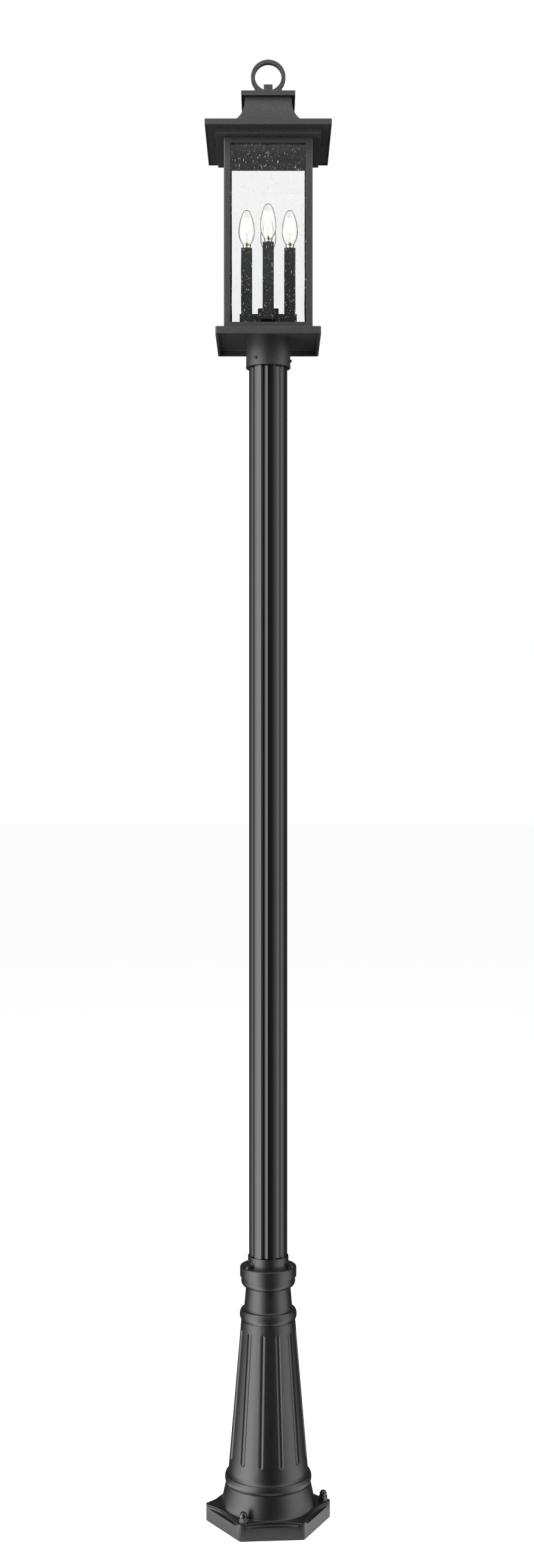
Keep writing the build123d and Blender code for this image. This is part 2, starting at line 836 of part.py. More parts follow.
export_step(crown_frame.part, "parts/crown_frame.step")

# Cross strap, its nut and screws. The finial's stud screws into it and holds the roof down.
strap_length = 2 * (opening_half + strap_bearing)
strap_top = crown_floor + strap_thickness
stud_radius = stud_diameter / 2

with BuildPart() as cross_strap:
    with BuildSketch(Plane.XY.offset(crown_floor)):
        Rectangle(strap_length, strap_width)
        fillet(vertices(), radius=strap_corner)
        Circle(stud_radius + screw_gap, mode=Mode.SUBTRACT)
        with PolarLocations(opening_half + strap_bearing / 2, 2):
            Circle(strap_screw_diameter / 2 + screw_gap, mode=Mode.SUBTRACT)
    extrude(amount=strap_thickness)
cross_strap.part.label = "cross_strap"
export_step(cross_strap.part, "parts/cross_strap.step")

with BuildPart() as strap_nut:
    with BuildSketch(Plane.XY.offset(crown_floor)):
        RegularPolygon(hexagon_corner(strap_nut_flats), 6)
        Circle(stud_radius + screw_gap, mode=Mode.SUBTRACT)
    extrude(amount=-strap_nut_height)
strap_nut.part.label = "strap_nut"
export_step(strap_nut.part, "parts/strap_nut.step")

with BuildPart() as strap_screws:
    with BuildSketch(Plane.XY.offset(strap_top)):
        with PolarLocations(opening_half + strap_bearing / 2, 2):
            Circle(strap_screw_head / 2)
    extrude(amount=strap_screw_head_height)
    with BuildSketch(Plane.XY.offset(strap_top)):
        with PolarLocations(opening_half + strap_bearing / 2, 2):
            Circle(strap_screw_diameter / 2)
    extrude(amount=-(strap_top - crown_seat))
strap_screws.part.label = "strap_screws"
export_step(strap_screws.part, "parts/strap_screws.step")

# Cluster hub. A square box on the plate that carries the arms, with its lid.
arm_inner = arm_height - 2 * arm_wall

with BuildPart() as cluster_hub:
    with BuildSketch(Plane.XY.offset(plate_top)):
        Rectangle(hub_width, hub_width)
    extrude(amount=hub_height - hub_cover_thickness)
    with BuildSketch(Plane.XY.offset(plate_top + hub_wall)):
        Rectangle(hub_width - 2 * hub_wall, hub_width - 2 * hub_wall)
    extrude(amount=hub_height, mode=Mode.SUBTRACT)
    with BuildSketch(Plane.XY.offset(plate_top)):
        Circle(nipple_radius + screw_gap)
    extrude(amount=hub_wall, mode=Mode.SUBTRACT)
    with Locations((0, 0, arm_middle)):
        Box(2 * hub_width, arm_inner, arm_inner, mode=Mode.SUBTRACT)
        Box(arm_inner, 2 * hub_width, arm_inner, mode=Mode.SUBTRACT)
cluster_hub.part.label = "cluster_hub"
export_step(cluster_hub.part, "parts/cluster_hub.step")

with BuildPart() as hub_cover:
    with BuildSketch(Plane.XY.offset(hub_top)):
        Rectangle(hub_width, hub_width)
    extrude(amount=-hub_cover_thickness)
    chamfer(edges().group_by(Axis.Z)[-1], length=hub_cover_chamfer)
hub_cover.part.label = "hub_cover"
export_step(hub_cover.part, "parts/hub_cover.step")

# Lamp arms. Hollow square arms from the hub, closed at the outer end under each candle.
arm_start = hub_width / 2
arm_reach = cluster_radius + sleeve_width / 2 + arm_end
holder_stem_radius = holder_stem_diameter / 2
holder_bore_radius = holder_stem_bore / 2

with BuildPart() as lamp_arm:
    with BuildSketch(Plane.YZ.offset(arm_start)):
        with Locations((0, arm_middle)):
            Rectangle(arm_width, arm_height)
    extrude(amount=arm_reach - arm_start)
    with BuildSketch(Plane.YZ.offset(arm_start)):
        with Locations((0, arm_middle)):
            Rectangle(arm_inner, arm_inner)
    extrude(amount=arm_reach - arm_start - arm_wall, mode=Mode.SUBTRACT)
    with BuildSketch(Plane.XY.offset(arm_middle)):
        with Locations((cluster_radius, 0)):
            Circle(holder_bore_radius)
    extrude(amount=arm_height, mode=Mode.SUBTRACT)

with BuildPart() as lamp_arms:
    with PolarLocations(0, 4):
        add(lamp_arm.part)
lamp_arms.part.label = "lamp_arms"
export_step(lamp_arms.part, "parts/lamp_arms.step")

# Candle sleeves. Square tubes that stand on the arms and hide the lampholders.
with BuildPart() as candle_sleeves:
    with BuildSketch(Plane.XY.offset(arm_top)):
        with PolarLocations(cluster_radius, 4):
            Rectangle(sleeve_width, sleeve_width)
    extrude(amount=sleeve_height)
    with BuildSketch(Plane.XY.offset(arm_top)):
        with PolarLocations(cluster_radius, 4):
            Rectangle(sleeve_width - 2 * sleeve_wall, sleeve_width - 2 * sleeve_wall)
    extrude(amount=sleeve_height - sleeve_web, mode=Mode.SUBTRACT)
    with BuildSketch(Plane.XY.offset(arm_top)):
        with PolarLocations(cluster_radius, 4):
            Circle(lamp_thread_diameter / 2 + slip_gap)
    extrude(amount=sleeve_height, mode=Mode.SUBTRACT)
candle_sleeves.part.label = "candle_sleeves"
export_step(candle_sleeves.part, "parts/candle_sleeves.step")

# Lampholders. Moulded sockets on hollow stems, with a contact in the floor of each.
with BuildPart() as lampholders:
    with BuildSketch(Plane.XY.offset(arm_top)):
        with PolarLocations(cluster_radius, 4):
            Circle(holder_stem_radius)
            Circle(holder_bore_radius, mode=Mode.SUBTRACT)
    extrude(amount=holder_foot - arm_top)
    with BuildSketch(Plane.XY.offset(holder_foot)):
        with PolarLocations(cluster_radius, 4):
            Circle(holder_diameter / 2)
    extrude(amount=holder_height)
    with BuildSketch(Plane.XY.offset(socket_floor)):
        with PolarLocations(cluster_radius, 4):
            Circle(lamp_thread_diameter / 2 + slip_gap)
    extrude(amount=holder_height, mode=Mode.SUBTRACT)
lampholders.part.label = "lampholders"
export_step(lampholders.part, "parts/lampholders.step")

with BuildPart() as lampholder_contacts:
    with BuildSketch(Plane.XY.offset(socket_floor)):
        with PolarLocations(cluster_radius, 4):
            Circle(contact_diameter / 2)
    extrude(amount=contact_height)
lampholder_contacts.part.label = "lampholder_contacts"
export_step(lampholder_contacts.part, "parts/lampholder_contacts.step")

# Terminal block under the hub's lid, and the leads from it through arms and stems to the holders.
terminal_half = terminal_width / 2

with BuildPart() as terminal_block:
    with BuildSketch(Plane.XY.offset(hub_top - hub_cover_thickness)):
        Rectangle(terminal_width, terminal_width)
    extrude(amount=-terminal_height)
terminal_block.part.label = "terminal_block"
export_step(terminal_block.part, "parts/terminal_block.step")

with BuildPart() as lamp_lead:
    with BuildLine() as lead_route:
        FilletPolyline(
            (terminal_half, 0, arm_middle),
            (cluster_radius, 0, arm_middle),
            (cluster_radius, 0, holder_foot),
            radius=lead_bend,
        )
    with BuildSketch(Plane.YZ.offset(terminal_half)):
        with Locations((0, arm_middle)):
            Circle(lead_diameter / 2)
    sweep()

with BuildPart() as lamp_leads:
    with PolarLocations(0, 4):
        add(lamp_lead.part)
lamp_leads.part.label = "lamp_leads"
export_step(lamp_leads.part, "parts/lamp_leads.step")

# Lamps. Each is a flame-shaped glass on a metal skirt and screw base, with a glass stem inside
# that carries upright filaments between two small metal crosses.
lamp_radius = lamp_diameter / 2
lamp_neck = lamp_neck_diameter / 2
stem_top = skirt_top + stem_height
filament_foot = stem_top + spider_thickness
filament_top = filament_foot + filament_length


def flame_outline(wall):
    """Half outline of the flame glass, drawn in by a wall, standing on the skirt."""
    belly = (lamp_radius - wall, skirt_top + lamp_belly)
    neck = (lamp_neck - wall, skirt_top)
    crown = lamp_crown_radius - wall
    crown_rise = lamp_height - lamp_belly - lamp_crown_radius
    flank = (belly[0] ** 2 - crown**2 + crown_rise**2) / (2 * (belly[0] - crown))
    share = crown / (flank - crown)
    shoulder = (share * (flank - belly[0]), belly[1] + crown_rise * (1 + share))
    tip = (0, skirt_top + lamp_height - wall)
    Line((0, skirt_top), neck)
    TangentArc(belly, neck, tangent=(0, -1))
    TangentArc(belly, shoulder, tangent=(0, 1))
    TangentArc(tip, shoulder, tangent=(1, 0))
    Line(tip, (0, skirt_top))


for side, angle in SIDES.items():
    centre = around(cluster_radius, angle)
    lamp_axis = Axis(centre, (0, 0, 1))

    with BuildPart() as bulb_base:
        with BuildSketch(upright(centre)):
            with BuildLine():
                Polyline(
                    (0, lamp_thread_foot),
                    (lamp_tip_diameter / 2, lamp_thread_foot),
                    (lamp_thread_diameter / 2, lamp_thread_foot + lamp_tip_diameter / 2),
                    (lamp_thread_diameter / 2, skirt_foot),
                    (skirt_diameter / 2, skirt_foot),
                    (skirt_diameter / 2, skirt_top),
                    (0, skirt_top),
                    (0, lamp_thread_foot),
                )
            make_face()
        revolve(axis=lamp_axis)
    bulb_base.part.label = f"bulb_base_{side}"
    export_step(bulb_base.part, f"parts/bulb_base_{side}.step")

    with BuildPart() as bulb_glass:
        with BuildSketch(upright(centre)):
            with BuildLine():
                flame_outline(0)
            make_face()
        revolve(axis=lamp_axis)
        with BuildSketch(upright(centre)):
            with BuildLine():
                flame_outline(lamp_wall)
            make_face()
        revolve(axis=lamp_axis, mode=Mode.SUBTRACT)
    bulb_glass.part.label = f"bulb_glass_{side}"
    export_step(bulb_glass.part, f"parts/bulb_glass_{side}.step")

    with BuildPart() as bulb_stem:
        with BuildSketch(upright(centre)):
            with BuildLine():
                Line((0, skirt_top), (stem_foot_diameter / 2, skirt_top))
                quarter((stem_foot_diameter / 2, skirt_top), (stem_diameter / 2, skirt_top + stem_height / 2))
                Polyline(
                    (stem_diameter / 2, skirt_top + stem_height / 2),
                    (stem_diameter / 2, stem_top),
                    (0, stem_top),
                    (0, skirt_top),
                )
            make_face()
        revolve(axis=lamp_axis)
    bulb_stem.part.label = f"bulb_stem_{side}"
    export_step(bulb_stem.part, f"parts/bulb_stem_{side}.step")

    with BuildPart() as bulb_filaments:
        for cross_foot in (stem_top, filament_top):
            with BuildSketch(Plane(origin=(centre.X, centre.Y, cross_foot))):
                Rectangle(2 * filament_spread, filament_diameter)
                Rectangle(filament_diameter, 2 * filament_spread)
            extrude(amount=spider_thickness)
        with BuildSketch(Plane(origin=(centre.X, centre.Y, stem_top))):
            with PolarLocations(filament_spread, 4):
                Circle(filament_diameter / 2)
        extrude(amount=filament_length + 2 * spider_thickness)
    bulb_filaments.part.label = f"bulb_filaments_{side}"
    export_step(bulb_filaments.part, f"parts/bulb_filaments_{side}.step")


def roof_outline(skin, foot, top):
    """Half outline of the roof at its middle, drawn in by a skin, from a foot to a top level."""
    flank = roof_flank_half
    neck = roof_neck_half - skin
    brim = brim_half - (brim_wall if skin else 0)
    level = brim_top - skin
    curve = roof_cove + skin
    ThreePointArc(
        (flank, level),
        (flank - curve * DIAGONAL, roof_neck_foot - curve * DIAGONAL),
        (neck, roof_neck_foot),
    )
    Polyline(
        (neck, roof_neck_foot),
        (neck, top),
        (-neck, top),
        (-neck, roof_neck_foot),
    )
    ThreePointArc(
        (-neck, roof_neck_foot),
        (curve * DIAGONAL - flank, roof_neck_foot - curve * DIAGONAL),
        (-flank, level),
    )
    Polyline(
        (-flank, level),
        (-brim, level),
        (-brim, foot),
        (brim, foot),
        (brim, level),
        (flank, level),
    )


# Roof shell. A square cast cap, open below: flat brim, concave flanks and a straight square neck.
roof_screw_level = brim_half - roof_screw_inset
pan_top = crown_top + pan_thickness
roof_boss_top = brim_top - roof_skin / 2

with BuildPart() as roof_hollow:
    with BuildSketch(Plane.XZ):
        with BuildLine():
            roof_outline(roof_skin, brim_foot, roof_neck_top - roof_skin)
        make_face()
    extrude(amount=brim_half, both=True)
    with BuildSketch(Plane.YZ):
        with BuildLine():
            roof_outline(roof_skin, brim_foot, roof_neck_top - roof_skin)
        make_face()
    extrude(amount=brim_half, both=True, mode=Mode.INTERSECT)

with BuildPart() as roof_shell:
    with BuildSketch(Plane.XZ):
        with BuildLine():
            roof_outline(0, brim_foot, roof_neck_top)
        make_face()
    extrude(amount=brim_half, both=True)
    with BuildSketch(Plane.YZ):
        with BuildLine():
            roof_outline(0, brim_foot, roof_neck_top)
        make_face()
    extrude(amount=brim_half, both=True, mode=Mode.INTERSECT)
    add(roof_hollow.part, mode=Mode.SUBTRACT)
    with BuildSketch(Plane.XY.offset(pan_top)):
        with PolarLocations(roof_screw_level, 4):
            Circle(roof_boss / 2)
    extrude(amount=roof_boss_top - pan_top)
    with BuildSketch(Plane.XY.offset(pan_top)):
        with PolarLocations(roof_screw_level, 4):
            Circle(roof_screw_diameter / 2 + screw_gap)
    extrude(amount=roof_boss_top - pan_top, mode=Mode.SUBTRACT)
    with BuildSketch(Plane.XY.offset(roof_neck_top)):
        Circle(stud_radius + slip_gap)
    extrude(amount=-2 * roof_skin, mode=Mode.SUBTRACT)
roof_shell.part.label = "roof_shell"
export_step(roof_shell.part, "parts/roof_shell.step")

# Roof pan. A flat frame inside the brim, which rests on the crown and is held by four screws.
pan_half = brim_half - brim_wall - pan_gap

with BuildPart() as roof_pan:
    with BuildSketch(Plane.XY.offset(crown_top)):
        Rectangle(2 * pan_half, 2 * pan_half)
        Rectangle(2 * opening_half, 2 * opening_half, mode=Mode.SUBTRACT)
        with PolarLocations(roof_screw_level, 4):
            Circle(roof_screw_diameter / 2 + screw_gap, mode=Mode.SUBTRACT)
    extrude(amount=pan_thickness)
roof_pan.part.label = "roof_pan"
export_step(roof_pan.part, "parts/roof_pan.step")

with BuildPart() as roof_screws:
    with BuildSketch(Plane.XY.offset(crown_top)):
        with PolarLocations(roof_screw_level, 4):
            Circle(roof_screw_head / 2)
    extrude(amount=-roof_screw_head_height)
    with BuildSketch(Plane.XY.offset(crown_top)):
        with PolarLocations(roof_screw_level, 4):
            Circle(roof_screw_diameter / 2)
    extrude(amount=roof_boss_top - blind_spare - crown_top)
roof_screws.part.label = "roof_screws"
export_step(roof_screws.part, "parts/roof_screws.step")

# Roof cap. A shallow square tray turned over the neck, with a low hipped top.
with BuildPart() as roof_cap:
    with BuildSketch(Plane.XY.offset(cap_top)):
        Rectangle(2 * cap_half, 2 * cap_half)
    extrude(amount=-cap_rim)
    with BuildSketch(Plane.XY.offset(cap_top - cap_rim)):
        Rectangle(2 * (cap_half - cap_rim_wall), 2 * (cap_half - cap_rim_wall))
    extrude(amount=cap_rim - cap_skin, mode=Mode.SUBTRACT)
    with BuildSketch(Plane.XY.offset(cap_top)):
        Rectangle(2 * (cap_half - cap_shoulder), 2 * (cap_half - cap_shoulder))
    with BuildSketch(Plane.XY.offset(hip_top)):
        Rectangle(finial_plate_width + 2 * hip_margin, finial_plate_width + 2 * hip_margin)
    loft()
    with BuildSketch(Plane.XY.offset(hip_top)):
        Circle(stud_radius + slip_gap)
    extrude(amount=-2 * (hip_rise + cap_skin), mode=Mode.SUBTRACT)
roof_cap.part.label = "roof_cap"
export_step(roof_cap.part, "parts/roof_cap.step")

with BuildPart() as finial_plate:
    with BuildSketch(Plane.XY.offset(hip_top)):
        Rectangle(finial_plate_width, finial_plate_width)
    extrude(amount=finial_plate_thickness)
    chamfer(edges().group_by(Axis.Z)[-1], length=finial_plate_chamfer)
    with BuildSketch(Plane.XY.offset(hip_top)):
        Circle(stud_radius + slip_gap)
    extrude(amount=finial_plate_thickness, mode=Mode.SUBTRACT)
finial_plate.part.label = "finial_plate"
export_step(finial_plate.part, "parts/finial_plate.step")

# Finial. A square block with a flat ring brazed to it, on a long stud that holds the roof down.
with BuildPart() as loop_block:
    with BuildSketch(Plane.XY.offset(finial_seat)):
        Rectangle(loop_block_width, loop_block_width)
    extrude(amount=loop_block_height)
    with BuildSketch(Plane.XY.offset(finial_seat)):
        Circle(stud_radius + screw_gap / 2)
    extrude(amount=stud_grip, mode=Mode.SUBTRACT)
loop_block.part.label = "loop_block"
export_step(loop_block.part, "parts/loop_block.step")

with BuildPart() as loop_ring:
    with BuildSketch(Plane.XZ):
        with Locations((0, loop_centre)):
            Circle(loop_radius)
            Circle(loop_radius - loop_band, mode=Mode.SUBTRACT)
    extrude(amount=loop_depth / 2, both=True)
    with Locations((0, 0, finial_seat)):
        Box(
            loop_block_width,
            loop_block_width,
            2 * loop_block_height,
            mode=Mode.SUBTRACT,
        )
loop_ring.part.label = "loop_ring"
export_step(loop_ring.part, "parts/loop_ring.step")

with BuildPart() as finial_stud:
    with BuildSketch(Plane.XY.offset(stud_foot)):
        Circle(stud_radius)
    extrude(amount=stud_top - stud_foot)
    chamfer(edges().group_by(Axis.Z)[0], length=stud_chamfer)
finial_stud.part.label = "finial_stud"
export_step(finial_stud.part, "parts/finial_stud.step")

print(f"overall height {loop_centre + loop_radius:.1f}, foot {2 * foot_radius:.1f} across corners")
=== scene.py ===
"""Looks of a four-light post light: a glazed square lantern on a fluted post and a cast base.

Metres, in the row frame: +Z up, and the front of the lantern faces -Y.
"""
import json
from math import cos, pi, radians, sin

import bmesh
import bpy
from mathutils import Matrix, Vector

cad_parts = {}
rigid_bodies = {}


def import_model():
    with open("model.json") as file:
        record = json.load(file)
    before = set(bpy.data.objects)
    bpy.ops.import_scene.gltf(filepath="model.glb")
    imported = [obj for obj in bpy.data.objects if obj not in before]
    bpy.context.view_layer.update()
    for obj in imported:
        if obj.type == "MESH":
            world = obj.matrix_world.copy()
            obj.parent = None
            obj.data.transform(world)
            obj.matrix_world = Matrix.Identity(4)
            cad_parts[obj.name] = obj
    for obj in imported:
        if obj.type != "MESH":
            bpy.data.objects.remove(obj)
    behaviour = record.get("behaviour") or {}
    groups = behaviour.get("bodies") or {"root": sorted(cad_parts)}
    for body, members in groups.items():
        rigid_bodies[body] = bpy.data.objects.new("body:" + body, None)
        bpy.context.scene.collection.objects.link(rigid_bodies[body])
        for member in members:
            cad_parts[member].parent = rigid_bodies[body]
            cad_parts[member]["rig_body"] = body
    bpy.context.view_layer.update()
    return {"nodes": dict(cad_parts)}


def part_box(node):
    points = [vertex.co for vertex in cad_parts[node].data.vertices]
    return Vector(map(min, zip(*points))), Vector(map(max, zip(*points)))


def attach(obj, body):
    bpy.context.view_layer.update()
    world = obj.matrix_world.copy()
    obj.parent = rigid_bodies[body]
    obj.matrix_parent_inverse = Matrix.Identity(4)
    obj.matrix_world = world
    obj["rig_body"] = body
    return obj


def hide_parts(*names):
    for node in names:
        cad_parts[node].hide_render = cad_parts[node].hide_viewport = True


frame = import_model()
nodes = frame["nodes"]

# Base casting. A hollow sand casting in aluminium: hexagonal foot, flare, beads and fluted cone
# in one piece. Its black powder coat is satin, and the cast skin shows through as soft lumps.
cast_black = (0.006, 0.006, 0.0062, 1)
cast_glint = (0.024, 0.024, 0.025, 1)
cast_edge = 0.0009
grain_unlit = 0.48
grain_lit = 0.72
weld_distance = 0.000002
flat_within = 0.5
crease_angle = 30


def add_node(tree, kind, inputs=None, **settings):
    """Adds a node; each input takes a value, or the socket that feeds it."""
    node = tree.nodes.new(kind)
    for name, value in settings.items():
        setattr(node, name, value)
    for name, value in (inputs or {}).items():
        if isinstance(value, bpy.types.NodeSocket):
            tree.links.new(value, node.inputs[name])
        else:
            node.inputs[name].default_value = value
    return node


def reckon(tree, operation, *terms):
    """One sum in a tree; its terms are numbers or sockets."""
    return add_node(tree, "ShaderNodeMath", dict(enumerate(terms)), operation=operation).outputs[0]


def mix_colours(tree, share, first, second):
    """The colour between two, at a share from 0 to 1."""
    mixed = add_node(tree, "ShaderNodeMix", {0: share, 6: first, 7: second}, data_type="RGBA")
    return mixed.outputs[2]


def name_sockets(tree, inputs, outputs):
    """Names a tree's inputs and outputs, and gives back the inner ends of both."""
    for name, (kind, value) in inputs.items():
        socket = tree.interface.new_socket(name, in_out="INPUT", socket_type="NodeSocket" + kind)
        if value is not None:
            socket.default_value = value
    for name, kind in outputs.items():
        tree.interface.new_socket(name, in_out="OUTPUT", socket_type="NodeSocket" + kind)
    return tree.nodes.new("NodeGroupInput").outputs, tree.nodes.new("NodeGroupOutput").inputs


def make_coat_grain():
    """The grain of a powder coat: colour with lit grains, and the height of its orange peel."""
    tree = bpy.data.node_groups.new("coat_grain", "ShaderNodeTree")
    given, made = name_sockets(
        tree,
        {
            "Colour": ("Color", (0, 0, 0, 1)),
            "Glint": ("Color", (0, 0, 0, 1)),
            "Grain Size": ("Float", 0.001),
            "Density": ("Float", 0.5),
        },
        {"Colour": "Color", "Height": "Float"},
    )
    place = add_node(tree, "ShaderNodeTexCoord").outputs["Object"]
    scale = reckon(tree, "DIVIDE", 1.0, given["Grain Size"])
    grain = add_node(
        tree,
        "ShaderNodeTexNoise",
        {"Vector": place, "Scale": scale, "Detail": 2.0, "Roughness": 0.65},
    ).outputs["Fac"]
    spot = add_node(
        tree,
        "ShaderNodeMapRange",
        {"Value": grain, "From Min": grain_unlit, "From Max": grain_lit},
        interpolation_type="SMOOTHSTEP",
    ).outputs["Result"]
    lit = reckon(tree, "MULTIPLY", spot, given["Density"])
    tree.links.new(mix_colours(tree, lit, given["Colour"], given["Glint"]), made["Colour"])
    tree.links.new(grain, made["Height"])
    return tree


def make_slow_gloss():
    """Gloss that drifts over a surface, where a coat flowed thicker or a hand has rubbed it."""
    tree = bpy.data.node_groups.new("slow_gloss", "ShaderNodeTree")
    given, made = name_sockets(
        tree,
        {"Roughness": ("Float", 0.4), "Spread": ("Float", 0.1), "Patch Size": ("Float", 0.04)},
        {"Roughness": "Float", "Patches": "Float"},
    )
    place = add_node(tree, "ShaderNodeTexCoord").outputs["Object"]
    scale = reckon(tree, "DIVIDE", 1.0, given["Patch Size"])
    patches = add_node(
        tree, "ShaderNodeTexNoise", {"Vector": place, "Scale": scale, "Detail": 3.0}
    ).outputs["Fac"]
    drift = reckon(tree, "MULTIPLY", reckon(tree, "SUBTRACT", patches, 0.5), given["Spread"])
    tree.links.new(reckon(tree, "ADD", given["Roughness"], drift), made["Roughness"])
    tree.links.new(patches, made["Patches"])
    return tree


coat_grain = make_coat_grain()
slow_gloss = make_slow_gloss()


def new_material(name):
    """A material with its node tree and its shader."""
    material = bpy.data.materials.new(name)
    material.use_nodes = True
    return material, material.node_tree, material.node_tree.nodes["Principled BSDF"]


def add_grain(tree, shader, colour, glint, grain_size, density):
    """Colours a shader with a coat's grain, and gives back what the group puts out."""
    grain = add_node(
        tree,
        "ShaderNodeGroup",
        {"Colour": colour, "Glint": glint, "Grain Size": grain_size, "Density": density},
        node_tree=coat_grain,
    ).outputs
    tree.links.new(grain["Colour"], shader.inputs["Base Color"])
    return grain


def add_gloss(tree, shader, roughness, spread, patch_size):
    """Gives a shader the slow gloss, and gives back what the group puts out."""
    drift = add_node(
        tree,
        "ShaderNodeGroup",
        {"Roughness": roughness, "Spread": spread, "Patch Size": patch_size},
        node_tree=slow_gloss,
    ).outputs
    tree.links.new(drift["Roughness"], shader.inputs["Roughness"])
    return drift


def add_relief(tree, shader, height, distance):
    """Raises a shader's surface, on top of the relief that it has."""
    bump = add_node(tree, "ShaderNodeBump", {"Height": height, "Distance": distance})
    if shader.inputs["Normal"].links:
        tree.links.new(shader.inputs["Normal"].links[0].from_socket, bump.inputs["Normal"])
    tree.links.new(bump.outputs["Normal"], shader.inputs["Normal"])


def powder_coat(name, colour, glint, grain_size, density, relief, gloss, patch_size, skin):
    """A baked powder coat. The skin is the height of the lumps that the metal under it has."""
    material, tree, shader = new_material(name)
    grain = add_grain(tree, shader, colour, glint, grain_size, density)
    drift = add_gloss(tree, shader, *gloss, patch_size)
    add_relief(tree, shader, drift["Patches"], skin)
    add_relief(tree, shader, grain["Height"], relief)
    return material


def dress(name, material):
    """Gives a CAD node its finish."""
    for slot in nodes[name].material_slots:
        slot.material = material


def finished(name, shape, sharp=35):
    """The mesh of a shape, smooth apart from edges sharper than an angle in degrees."""
    mesh = bpy.data.meshes.new(name)
    shape.to_mesh(mesh)
    shape.free()
    mesh.shade_smooth()
    mesh.set_sharp_from_angle(angle=radians(sharp))
    return mesh


def new_piece(name, mesh):
    """An object in the scene, at the origin."""
    piece = bpy.data.objects.new(name, mesh)
    bpy.context.scene.collection.objects.link(piece)
    return piece


def keep_mesh(piece):
    """Turns what a piece's modifiers make of it into its plain mesh."""
    bpy.context.view_layer.update()
    evaluated = piece.evaluated_get(bpy.context.evaluated_depsgraph_get())
    mesh = bpy.data.meshes.new_from_object(evaluated)
    piece.modifiers.clear()
    piece.data = mesh


def settle(piece, body, slot, *replaced):
    """Sets a piece on its body, with the CAD nodes that it stands for. Its finish's slot is not
    used.
    """
    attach(piece, body)
    if replaced:
        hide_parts(*replaced)


def eased(name, material, slot, width):
    """A copy of a CAD node with its sharp edges rounded, as a thick coat rounds them."""
    shape = bmesh.new()
    shape.from_mesh(nodes[name].data)
    bmesh.ops.remove_doubles(shape, verts=shape.verts, dist=weld_distance)
    bmesh.ops.dissolve_limit(
        shape,
        angle_limit=radians(flat_within),
        verts=shape.verts,
        edges=shape.edges,
        delimit={"NORMAL"},
    )
    mesh = finished(name + "_coated", shape, sharp=crease_angle)
    # The CAD's own normals would hide the rounding, so they go.
    for attribute in [a for a in mesh.attributes if a.name == "custom_normal"]:
        mesh.attributes.remove(attribute)
    mesh.materials.clear()
    mesh.materials.append(material)
    piece = new_piece(name + "_coated", mesh)
    bevel = piece.modifiers.new("coat_round", "BEVEL")
    bevel.width = width
    bevel.segments = 2
    bevel.limit_method = "ANGLE"
    bevel.angle_limit = radians(crease_angle)
    bevel.harden_normals = True
    keep_mesh(piece)
    settle(piece, nodes[name]["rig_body"], slot, name)


cast_coat = powder_coat(
    "cast_black",
    cast_black,
    cast_glint,
    grain_size=0.0009,
    density=0.5,
    relief=0.000022,
    gloss=(0.33, 0.10),
    patch_size=0.012,
    skin=0.0001,
)
eased("base_casting", cast_coat, "cast_black", cast_edge)

# Post socket. A turned collar with three ears, coated with the base and screwed down on its lip
# by slotted screws, so it has the same finish.
dress("post_socket", cast_coat)

# Anchor washers and domed nuts. Pressed steel washers, and cold formed nuts with a dome that
# covers the end of the stud, both in glossy black.
nut_black = (0.011, 0.011, 0.0112, 1)
nut_glint = (0.028, 0.028, 0.029, 1)
anchor_count = 3
anchor_turn = 4.0
washer_low, washer_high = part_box("anchor_washers")
nut_low, nut_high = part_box("anchor_nuts")
washer_radius = 0.0095
washer_hole = 0.0055
washer_edge = 0.0004
anchor_circle = (washer_high.x - washer_radius) / cos(radians(anchor_turn))
washer_thickness = washer_high.z - washer_low.z
nut_half = 0.008
nut_height = 0.0085
nut_chamfer = 0.0014
nut_face = 0.0075
nut_thread = 0.0052
dome_radius = 0.007
dome_fillet = 0.0007
dome_spring = nut_high.z - nut_low.z - dome_radius
dome_roof = 0.0022
nut_corner = nut_half / cos(pi / 6)
nut_steps = 5


def turned(name, outline, segments=48):
    """A closed piece turned about +Z. Each point of its outline is a radius, a level and, where
    the piece has six flats, half its width across them."""
    shape = bmesh.new()
    rings = []
    for radius, level, *flats in outline:
        ring = []
        for step in range(segments if radius else 1):
            angle = 2 * pi * step / segments
            reach = radius
            if flats:
                reach = min(radius, flats[0] / cos((angle + pi / 6) % (pi / 3) - pi / 6))
            ring.append(shape.verts.new((reach * cos(angle), reach * sin(angle), level)))
        rings.append(ring)
    pairs = list(zip(rings, rings[1:]))
    if outline[0][0]:
        pairs.append((rings[-1], rings[0]))
    for lower, upper in pairs:
        for step in range(segments):
            after = (step + 1) % segments
            corners = [
                lower[step % len(lower)],
                lower[after % len(lower)],
                upper[after % len(upper)],
                upper[step % len(upper)],
            ]
            shape.faces.new(list(dict.fromkeys(corners)))
    bmesh.ops.recalc_face_normals(shape, faces=shape.faces)
    if shape.calc_volume(signed=True) < 0:
        bmesh.ops.reverse_faces(shape, faces=shape.faces)
    return finished(name, shape)


def arc(radius, level, bend, first, last, steps=6):
    """Points of an outline along an arc about a point, between two angles in degrees."""
    angles = [radians(first + (last - first) * step / steps) for step in range(steps + 1)]
    return [(radius + bend * cos(angle), level + bend * sin(angle)) for angle in angles]


def end_tree(tree, geometry, finish, result):
    """Ends a tree with real geometry in place of instances, in its finish."""
    real = add_node(tree, "GeometryNodeRealizeInstances", {"Geometry": geometry})
    coated = add_node(
        tree, "GeometryNodeSetMaterial", {"Geometry": real.outputs[0], "Material": finish}
    )
    tree.links.new(coated.outputs[0], result)
    return tree


